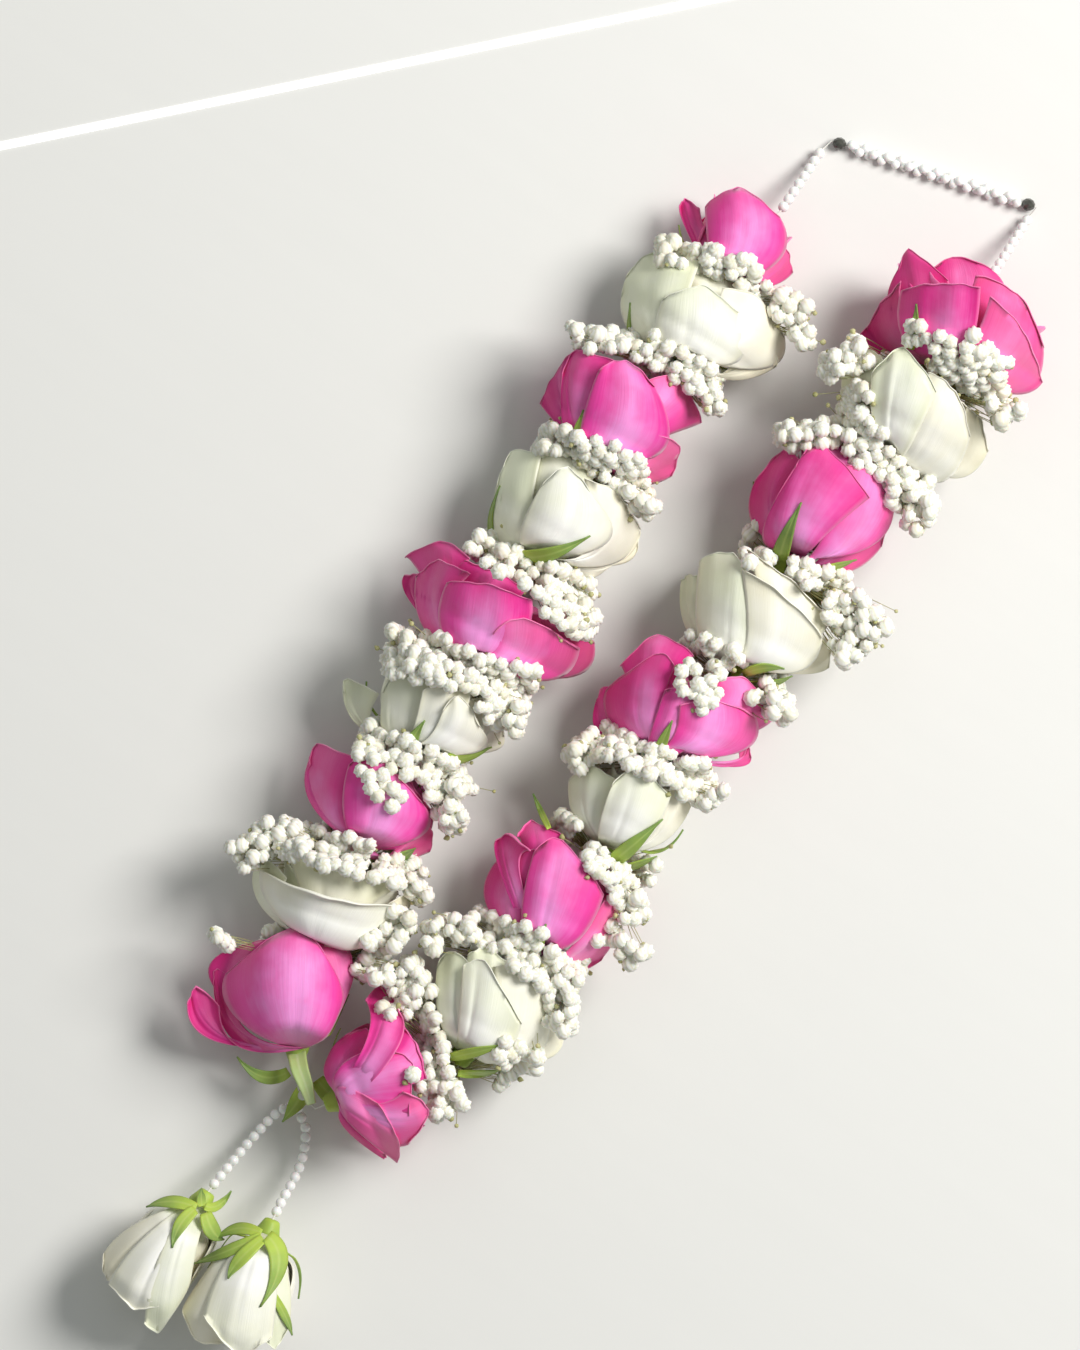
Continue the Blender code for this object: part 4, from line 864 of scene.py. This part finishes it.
def strapSheet():
    # A strip along its route, a little hollow, with its width read along it.
    rows, stations = strap["rows"], len(strap["width"])
    path = smoothRoute(strap["route"], rows)
    _, side, _ = along(path)
    side = unit(side - worldUp * (side @ worldUp)[:, None])
    width = np.interp(np.linspace(0, stations - 1, rows), np.arange(stations), strap["width"])
    u = np.linspace(-1, 1, strap["columns"])[:, None]
    sheet = path + side * (u * width / 2)[..., None] + worldUp * (strap["hollow"] * u**2)[..., None]
    return sheet, np.linspace(0, 1, rows) * np.ones_like(u), u * np.ones((1, rows))


def makeCalyx(rose):
    # The hip, the sepals of its sides and underside, those that the photo shows, and the stem of one rose.
    rng = np.random.default_rng(sum(map(ord, rose.name)) * 11 + 1)
    heap = Heap()
    points, faces, height = hipRings(rose)
    heap.add(points, faces, height=height, across=0.5, chance=rng.uniform())
    for k in range(calyx["sepals"]):
        azimuth = rose.turn + (k + 0.5) * 2 * math.pi / calyx["sepals"]
        if math.cos(azimuth) > 0.1:
            continue
        curl = rng.uniform(0.0, calyx["curl"]) if rng.uniform() < 0.5 else 0.0
        made = sepalSheet(rose, azimuth, calyx["reach"] * rng.uniform(0.85, 1.1), curl, rng)
        heap.addSheet(made, calyx["thickness"], chance=rng.uniform())
    for marks in shownSepals.get(rose.name, ()):
        heap.addSheet(shownSepal(rose, *marks), calyx["thickness"], chance=rng.uniform())
    if rose.name == "l9":
        heap.addSheet(strapSheet(), strap["thickness"], 1)
    heap.make("calyx_leaves_" + rose.name, "sepal_green", "calyx_" + rose.name, ["sepal", "strap"])


for rose in blooms.values():
    makeCalyx(rose)
print("calyxes made:", len(blooms))


# Gypsophila: florets, buds and stems

spray = {
    "floret": 3.0, "sizes": (0.80, 1.15), "lobe": 0.10, "spacing": 3.7, "fill": 1.75, "trials": 14,
    "ringFlorets": 26, "ringFrom": 78, "ringTurn": 204, "ringRun": (-2.0, 9.0), "ringOff": (1.5, 5.0),
    "ringLeast": 15.0, "budShare": 0.50, "buds": (0.7, 1.3), "budSpread": (2.6, 2.6, 1.0),
    "hub": 1.2, "hubRadius": 2.8, "stem": 0.20, "stemRows": 5, "stemSides": 3, "sag": 0.3,
}
bands = {  # strips of florets seen from above, in the photo's pixels: from, to, width, count before the fill
    "l2_l1": ((655, 250, 735, 268, 22, 16), (735, 268, 800, 318, 26, 16), (788, 300, 806, 346, 16, 7)),
    "l3_l2": ((565, 338, 640, 346, 22, 14), (640, 346, 705, 384, 30, 22), (705, 384, 712, 412, 20, 8)),
    "l4_l3": ((542, 438, 600, 458, 26, 16), (600, 458, 640, 480, 34, 20), (636, 480, 648, 515, 24, 8)),
    "l5_l4": ((472, 545, 540, 578, 26, 18), (540, 580, 592, 600, 36, 22), (545, 606, 592, 628, 26, 12)),
    "l6_l5": ((388, 652, 450, 662, 44, 26), (450, 665, 532, 690, 40, 28), (480, 700, 522, 722, 26, 11)),
    "l7_l6": ((362, 740, 430, 765, 34, 22), (430, 765, 462, 800, 40, 18), (440, 800, 460, 826, 20, 7),
              (364, 768, 400, 800, 20, 5)),
    "l8_l7": ((236, 858, 280, 832, 30, 18), (280, 836, 370, 858, 34, 30), (375, 866, 424, 876, 22, 12),
              (414, 885, 426, 898, 12, 4)),
    "l9_l8": ((408, 912, 376, 950, 24, 14), (356, 962, 392, 974, 18, 8), (216, 934, 232, 942, 12, 3)),
    "r2_r1": ((820, 372, 862, 352, 26, 12), (904, 336, 950, 350, 18, 8), (955, 350, 1000, 380, 34, 18),
              (985, 385, 1010, 420, 26, 12), (846, 392, 866, 408, 20, 6), (935, 360, 990, 396, 20, 8)),
    "r3_r2": ((778, 440, 850, 430, 22, 18), (838, 412, 872, 446, 26, 12), (850, 446, 900, 480, 30, 20),
              (895, 480, 925, 525, 34, 18)),
    "r4_r3": ((742, 556, 770, 562, 14, 4), (790, 572, 850, 585, 22, 14), (830, 595, 872, 640, 44, 24),
              (838, 640, 850, 660, 16, 5)),
    "r5_r4": ((686, 640, 742, 655, 12, 6), (678, 668, 712, 700, 30, 10), (712, 660, 725, 672, 14, 3),
              (755, 690, 790, 712, 26, 12)),
    "r6_r5": ((572, 760, 600, 738, 24, 10), (600, 738, 650, 762, 28, 16), (650, 762, 706, 775, 30, 18),
              (680, 775, 718, 800, 30, 12)),
    "r7_r6": ((556, 820, 572, 832, 18, 5), (590, 850, 622, 880, 22, 10), (618, 880, 640, 920, 26, 12),
              (600, 930, 640, 960, 22, 8)),
    "r8_r7": ((425, 940, 470, 925, 26, 16), (470, 925, 540, 945, 34, 24), (520, 950, 575, 985, 36, 20),
              (560, 985, 560, 1030, 26, 10), (500, 1050, 540, 1060, 24, 8)),
    "r9_r8": ((398, 965, 420, 1000, 34, 18), (385, 1003, 400, 1012, 14, 3), (415, 1000, 440, 1060, 26, 16),
              (425, 1060, 450, 1110, 34, 18)),
}
nodesOf = {"l9_l8": "spray_l9_l8_l7", "l8_l7": "spray_l9_l8_l7", "r9_r8": "spray_r9_r8_r7",
           "r8_r7": "spray_r9_r8_r7", "r3_r2": "spray_r3_r2_r1", "r2_r1": "spray_r3_r2_r1"}


def floretForm():
    # One floret of radius 1: a closed ball with six petals in a ring, those of each ring between those of
    # the next, and a shallow dip on top.
    sides, rows = 12, 5
    column = np.arange(sides)[:, None]
    tilt = np.linspace(-1.15, 1.15, rows)[None, :]
    petal = np.cos(math.pi * (column + np.arange(rows)))
    r = 1 + spray["lobe"] * petal
    a = column * 2 * math.pi / sides
    out = np.cos(tilt) * r
    rings = np.stack([np.cos(a) * out, np.sin(a) * out, 0.92 * np.sin(tilt) * r], axis=-1)
    points = np.concatenate([rings.reshape(-1, 3), [(0, 0, -0.8), (0, 0, 0.70)]])
    # Its height value is high on the petals and low between them and at the poles, where the finish paints
    # shade.
    return points, closedFaces(sides, rows), np.append(0.65 + 0.35 * petal.ravel(), (0.2, 0.1))


def turnedForm(sides, heights, radii, low, high):
    # A form turned about z: a ring at each height, closed by a point at each end.
    rows = len(heights)
    a = np.arange(sides)[:, None] * 2 * math.pi / sides
    level = np.broadcast_to(heights, (sides, rows))
    rings = np.stack([np.cos(a) * radii, np.sin(a) * radii, level], axis=-1)
    return np.concatenate([rings.reshape(-1, 3), [(0, 0, low), (0, 0, high)]]), closedFaces(sides, rows)


def turned(form, directions, spins):
    # Copies of a form with its z axis along each direction, turned about it by each spin.
    helper = np.where(np.abs(directions[:, 2:3]) < 0.9, worldUp, np.array((1.0, 0, 0)))
    x = unit(np.cross(helper, directions))
    y = np.cross(directions, x)
    c, s = np.cos(spins)[:, None], np.sin(spins)[:, None]
    basis = np.stack([x * c + y * s, y * c - x * s, directions], axis=1)
    return np.einsum("kj,njl->nkl", form, basis)


def bandPlaces(low, high, key, rng):
    # Florets dropped at random into each band, kept apart, at rest on the higher of the two roses under them
    # or, past their sides, out at the level of the strand.
    kept = np.zeros((0, 3))
    for x0, y0, x1, y1, width, share in bands[key]:
        count = round(share * spray["fill"])
        trials = count * spray["trials"]
        t = rng.uniform(0, 1, trials)
        off = rng.uniform(-0.5, 0.5, trials) * width
        direction = unit((x1 - x0, y1 - y0))
        places = planOf(x0 + (x1 - x0) * t - direction[1] * off, y0 + (y1 - y0) * t + direction[0] * off)
        ground = np.maximum(low.surface(places), high.surface(places))
        level = high.base[2] + high.radius * rng.uniform(0.25, 0.75, trials)
        above = ground + spray["floret"] * rng.uniform(0.3, 1.3, trials)
        added = 0
        for candidate in np.column_stack([places, np.where(ground > 0, above, level)]):
            if added == count:
                break
            if not len(kept) or np.linalg.norm(kept - candidate, axis=1).min() > spray["spacing"]:
                kept = np.vstack([kept, candidate])
                added += 1
    return kept


def ringPlaces(high, rng):
    # The groove's florets that face sideways and down, resting on the rose above.
    kept = []
    for k in range(spray["ringFlorets"]):
        degrees = spray["ringFrom"] + spray["ringTurn"] * (k + rng.uniform(0.1, 0.9)) / spray["ringFlorets"]
        run = rng.uniform(*spray["ringRun"])
        rho = max(np.interp(run, high.bellyAlong, high.bellyRho), spray["ringLeast"])
        rho += rng.uniform(*spray["ringOff"])
        kept.append(high.place(math.radians(degrees), rho, run))
    return np.array(kept)


def addSpray(heap, key, rng):
    # Florets, buds beside half of them, and a bent stem from the hub under the rose above to each.
    low, high = (blooms[name] for name in key.split("_"))
    places = np.concatenate([bandPlaces(low, high, key, rng), ringPlaces(high, rng)])
    places[:, 2] = np.maximum(places[:, 2], spray["floret"] + 0.3)
    count = len(places)
    hub = high.base - high.axis * spray["hub"]
    radial = places - hub - ((places - hub) @ high.axis)[:, None] * high.axis
    outward = unit(unit(radial) * 1.3 + rng.normal(0, 0.35, places.shape))
    size = spray["floret"] * rng.uniform(*spray["sizes"], count)
    form, faces, heights = floretForm()
    florets = turned(form, outward, rng.uniform(0, 6.28, count)) * size[:, None, None] + places[:, None]
    heap.addCopies(florets, faces, height=np.tile(heights, count),
                   chance=np.repeat(rng.uniform(0, 1, count), len(form)))
    form, faces = turnedForm(6, (-0.7, 0.0, 0.7), (0.7, 1.0, 0.55), -1.0, 1.25)
    beside = places[rng.uniform(0, 1, count) < spray["budShare"]]
    buds = beside + rng.normal(0, 1, beside.shape) * spray["budSpread"] - worldUp
    buds[:, 2] = np.maximum(buds[:, 2], 1.4)
    drops = turned(form, unit(rng.normal(0, 1, buds.shape)), rng.uniform(0, 6, len(buds)))
    drops = drops * rng.uniform(*spray["buds"], len(buds))[:, None, None] + buds[:, None]
    heap.addCopies(drops, faces, 1, height=np.repeat(rng.uniform(0.2, 1, len(buds)), len(form)), across=0.6,
                   chance=np.repeat(rng.uniform(0, 1, len(buds)), len(form)))
    radii = spray["stem"] * np.linspace(1.5, 0.8, spray["stemRows"])
    t = np.linspace(0, 1, spray["stemRows"])[:, None]
    for end, way in zip(np.concatenate([places - outward * (size * 0.5)[:, None], buds]),
                        np.concatenate([unit(radial), unit(buds - hub)])):
        reach = np.linalg.norm(end - hub)
        bend = (hub + end) / 2 + rng.normal(0, 0.06, 3) * reach - worldUp * reach * spray["sag"]
        bend[2] = max(bend[2], 0.8)
        path = (hub + way * spray["hubRadius"]) * (1 - t) ** 2 + 2 * bend * t * (1 - t) + end * t**2
        points, faces = tube(path, radii, spray["stemSides"])
        heap.add(points, faces, 1, height=0.4, across=0.6, chance=rng.uniform())
    return count


total = 0
heaps = {}
for number, key in enumerate(bands):
    heap = heaps.setdefault(nodesOf.get(key, "spray_" + key), Heap())
    total += addSpray(heap, key, np.random.default_rng(number + 40))
for node, heap in heaps.items():
    heap.make(node.replace("spray", "florets"), "gypsophila", node, ["floret", "stem"])
print("sprays made with", total, "florets")


# Pearls, beads and thread

strings = {
    "small": 4.0, "touch": 0.995, "dark": 5.0,
    "barPearl": 3.6, "barTurn": 14.0, "barOffset": 1.2, "barSpare": 1.5,
    "thread": 0.36, "threadSides": 8, "corner": 3.2,
    "knot": (-8.0, -163.5, 17.0), "knotRadii": (2.0, 2.0, 1.8), "knotEnd": (1.0, -0.5, -0.4),
    "legLeft": ((-41.6, 213.5, 17.5), (-41.4, 242.6, 2.7)),
    "legRight": ((38.2, 234.0, 21.0), (37.9, 264.6, 2.7)),
    "bar": ((-37.2, 248.0, 2.7), (35.1, 268.2, 2.7)),
    "tasselLeft": ((-9.3, -166.8, 14.6), (-9.5, -169.2, 13.8), (-12.8, -176.5, 11.2), (-15, -190, 9.5),
                   (-16.9, -206.5, 14.5), (-17.4, -211.6, 16.8)),
    "tasselRight": ((-6.7, -166.8, 14.6), (-6.2, -169.2, 13.9), (0.8, -174.8, 12.0), (6, -187, 10.0),
                    (7.6, -202.0, 16.5), (8.3, -206.8, 19.8)),
}


def ballForm(sides, rows):
    tilt = np.linspace(-math.pi / 2, math.pi / 2, rows + 2)[1:-1]
    return turnedForm(sides, np.sin(tilt), np.cos(tilt), -1.0, 1.0)


def addPearls(heap, route, pearl):
    # Balls at even steps along a route, as near the pearl's size as fills it.
    path = evenly(smoothRoute(route, 60), 400)
    length = np.linalg.norm(np.diff(path, axis=0), axis=1).sum()
    count = round(length / pearl)
    stations = evenly(path, 2 * count + 1)
    centres, ways = stations[1::2], unit(stations[2::2] - stations[:-2:2])
    form, faces = ballForm(18, 11)
    size = length / count / 2 * strings["touch"]
    heap.addCopies(turned(form, ways, np.zeros(count)) * size + centres[:, None], faces)


def beadForm():
    # A faceted bead: eight-sided rings whose corners are turned by half a side from ring to ring.
    heights, radii = (-0.98, -0.55, 0.0, 0.55, 0.98), (0.42, 0.86, 1.0, 0.86, 0.42)
    k = np.arange(8)
    n = (k + 1) % 8
    rings, faces = [], []
    for ring, (z, r) in enumerate(zip(heights, radii)):
        a = k * math.pi / 4 + ring * math.pi / 8
        rings.append(np.column_stack([np.cos(a) * r, np.sin(a) * r, np.full(8, z)]))
    for low in range(0, 32, 8):
        faces.append(np.stack([low + k, low + n, low + 8 + k], axis=-1))
        faces.append(np.stack([low + n, low + 8 + n, low + 8 + k], axis=-1))
    return np.concatenate(rings), faces + [k[::-1][None], (32 + k)[None]]


for name, node, routes in (
    ("leg_pearls_left", "pearl_leg_left", ("legLeft",)),
    ("leg_pearls_right", "pearl_leg_right", ("legRight",)),
    ("tassel_string_pearls", "tassel_pearls", ("tasselLeft", "tasselRight")),
):
    heap = Heap()
    for route in routes:
        addPearls(heap, strings[route], strings["small"])
    heap.make(name, "pearl", node, ["pearl"])

barStart, barEnd = np.array(strings["bar"])
barWay = unit(barEnd - barStart)
barSide = np.cross(worldUp, barWay)
inset = strings["dark"] / 2 + garland["gap"]
barLength = np.linalg.norm(barEnd - barStart) - 2 * inset
barCount = round(barLength / strings["barPearl"])
form, faces = ballForm(14, 9)
heap = Heap()
for row in (0.0, 0.5):  # two rows wound round each other, half a turn and half a pearl apart
    s = (np.arange(barCount) + 0.5 + row) * (barLength - strings["barSpare"]) / barCount
    winding = 2 * math.pi * (s / strings["barTurn"] + row)
    middles = barStart + barWay * (inset + s)[:, None] + strings["barOffset"] * (
        np.cos(winding)[:, None] * barSide + np.sin(winding)[:, None] * worldUp)
    balls = turned(form, np.tile(barWay, (barCount, 1)), winding) * strings["barPearl"] / 2
    heap.addCopies(balls + middles[:, None], faces)
heap.make("bar_pearls", "pearl", "pearl_bar", ["pearl"])
form, faces = beadForm()
for name, centre in (("left", barStart), ("right", barEnd)):
    heap = Heap()
    heap.add(turned(form, barWay[None], np.zeros(1))[0] * strings["dark"] / 2 + centre, faces)
    heap.make("faceted_bead_" + name, "dark_bead", "dark_bead_" + name, ["bead"], smooth=False)


def threadPath():
    # The thread's route through every rose, the neck string and the tassel strings, end to end.
    def inside(name, *stations):
        return [blooms[name].base + blooms[name].axis * s for s in stations]

    def strung(names):
        return [point for name in names[::-1] for point in inside(name, -4.0, 16.0)]

    legLeft, legRight, tasselLeft, tasselRight = (
        list(np.array(strings[key])) for key in ("legLeft", "legRight", "tasselLeft", "tasselRight"))
    knotRight = np.array(strings["knotEnd"])
    knotLeft = knotRight * (-1, 1, 1)
    return np.array([
        *inside("tassel_left", 16.5, -1.5), *tasselLeft[::-1], strings["knot"] + knotLeft,
        *strung(strands[0]), *legLeft, barStart - barWay * strings["corner"],
        barEnd + barWay * strings["corner"], *legRight[::-1], *strung(strands[1])[::-1],
        strings["knot"] + knotRight, *tasselRight, *inside("tassel_right", -1.5, 16.5)])


heap = Heap()
points, faces = tube(threadPath(), strings["thread"], strings["threadSides"])
heap.add(points, faces)
form, faces = ballForm(14, 9)
heap.add(form * strings["knotRadii"] + strings["knot"], faces)
heap.make("thread_and_knot", "thread", "thread", ["thread"])
print("strings made")


# Floor, light and camera

stage = {
    "floor": (0.80, 0.795, 0.775), "grain": 0.975, "half": 3.0,  # half is in metres
    "edgeFrom": (-60, 152), "edgeTo": (760, -17), "edgeWidth": 3.2, "edgeHeight": 0.4,
}


def addStage(name, corners, material):
    # A flat piece of the surroundings.
    mesh = bpy.data.meshes.new(name)
    mesh.from_pydata(corners, [], [(0, 1, 2, 3)])
    mesh.materials.append(material)
    made = bpy.data.objects.new(name, mesh)
    bpy.context.scene.collection.objects.link(made)


half = stage["half"]
floorFinish = Finish("floorPaint", Roughness=0.75, Specular_IOR_Level=0.2)
grain = floorFinish.noise(floorFinish.stretch(floorFinish.place(), (3.0, 26.0, 1.0)), 3.0, 4.0)
tint = floorFinish.colour(grain, stage["floor"], tuple(c * stage["grain"] for c in stage["floor"]))
addStage("floor", [(-half, -half, 0), (half, -half, 0), (half, half, 0), (-half, half, 0)],
         floorFinish.set(Base_Color=tint))

# A white strip crosses the top left corner of the view and glows a little: its glow is a painted highlight,
# as the strip is no lamp.
ends = planOf(*np.array((stage["edgeFrom"], stage["edgeTo"]), float).T) - planCentre[:2]
across = unit((ends[0][1] - ends[1][1], ends[1][0] - ends[0][0]))
corners = [tuple(np.append(e + across * s * stage["edgeWidth"] / 2, stage["edgeHeight"]) * mm)
           for e, s in ((ends[0], 1), (ends[0], -1), (ends[1], -1), (ends[1], 1))]
edgeFinish = Finish("edgePaint", Base_Color=(1, 1, 1, 1), Emission_Color=(1, 1, 1, 1),
                    Emission_Strength=0.35, Roughness=0.6)
addStage("floorEdge", corners, edgeFinish.material)

view = {"aimHeight": 27.0, "distance": 2.6}  # the first in millimetres, the second in metres
turn = photo["turn"]
right = np.array((math.cos(turn), math.sin(turn), 0.0))
upward = np.array((-math.sin(turn), math.cos(turn), 0.0))
aim = (np.append(planOf(*photo["middle"]), view["aimHeight"]) - planCentre) * mm


def addLight(name, way, elevation, distance, size, power, colour):
    # An area light that looks at the middle of the picture from a way in the picture and an elevation.
    flat = unit(right * way[0] + upward * way[1])
    direction = flat * math.cos(math.radians(elevation)) + worldUp * math.sin(math.radians(elevation))
    lamp = bpy.data.lights.new(name, "AREA")
    lamp.shape, lamp.size, lamp.energy, lamp.color = "DISK", size, power, colour
    made = bpy.data.objects.new(name, lamp)
    made.location = aim + direction * distance
    made.rotation_euler = Vector(direction).to_track_quat("Z", "Y").to_euler()
    bpy.context.scene.collection.objects.link(made)


addLight("window", (0.92, 0.40), 46, 2.2, 1.1, 55, (1.0, 0.985, 0.955))
addLight("fill", (-0.5, 0.8), 60, 2.4, 1.6, 2, (0.95, 1.0, 0.98))
world = bpy.data.worlds.new("room")
world.use_nodes = True
sky = world.node_tree.nodes["Background"]
sky.inputs["Color"].default_value = (0.95, 1.0, 0.985, 1.0)
sky.inputs["Strength"].default_value = 0.29
bpy.context.scene.world = world
bpy.context.scene.view_settings.view_transform = "Standard"

lens = bpy.data.cameras.new("camera")
lens.sensor_fit = "VERTICAL"
lens.angle = 2 * math.atan(photo["height"] * photo["pixel"] * mm / 2 / view["distance"])
camera = bpy.data.objects.new("camera", lens)
camera.location = aim + worldUp * view["distance"]
camera.rotation_euler = (0.0, 0.0, turn)
bpy.context.scene.collection.objects.link(camera)
bpy.context.scene.camera = camera
print("camera and light made")
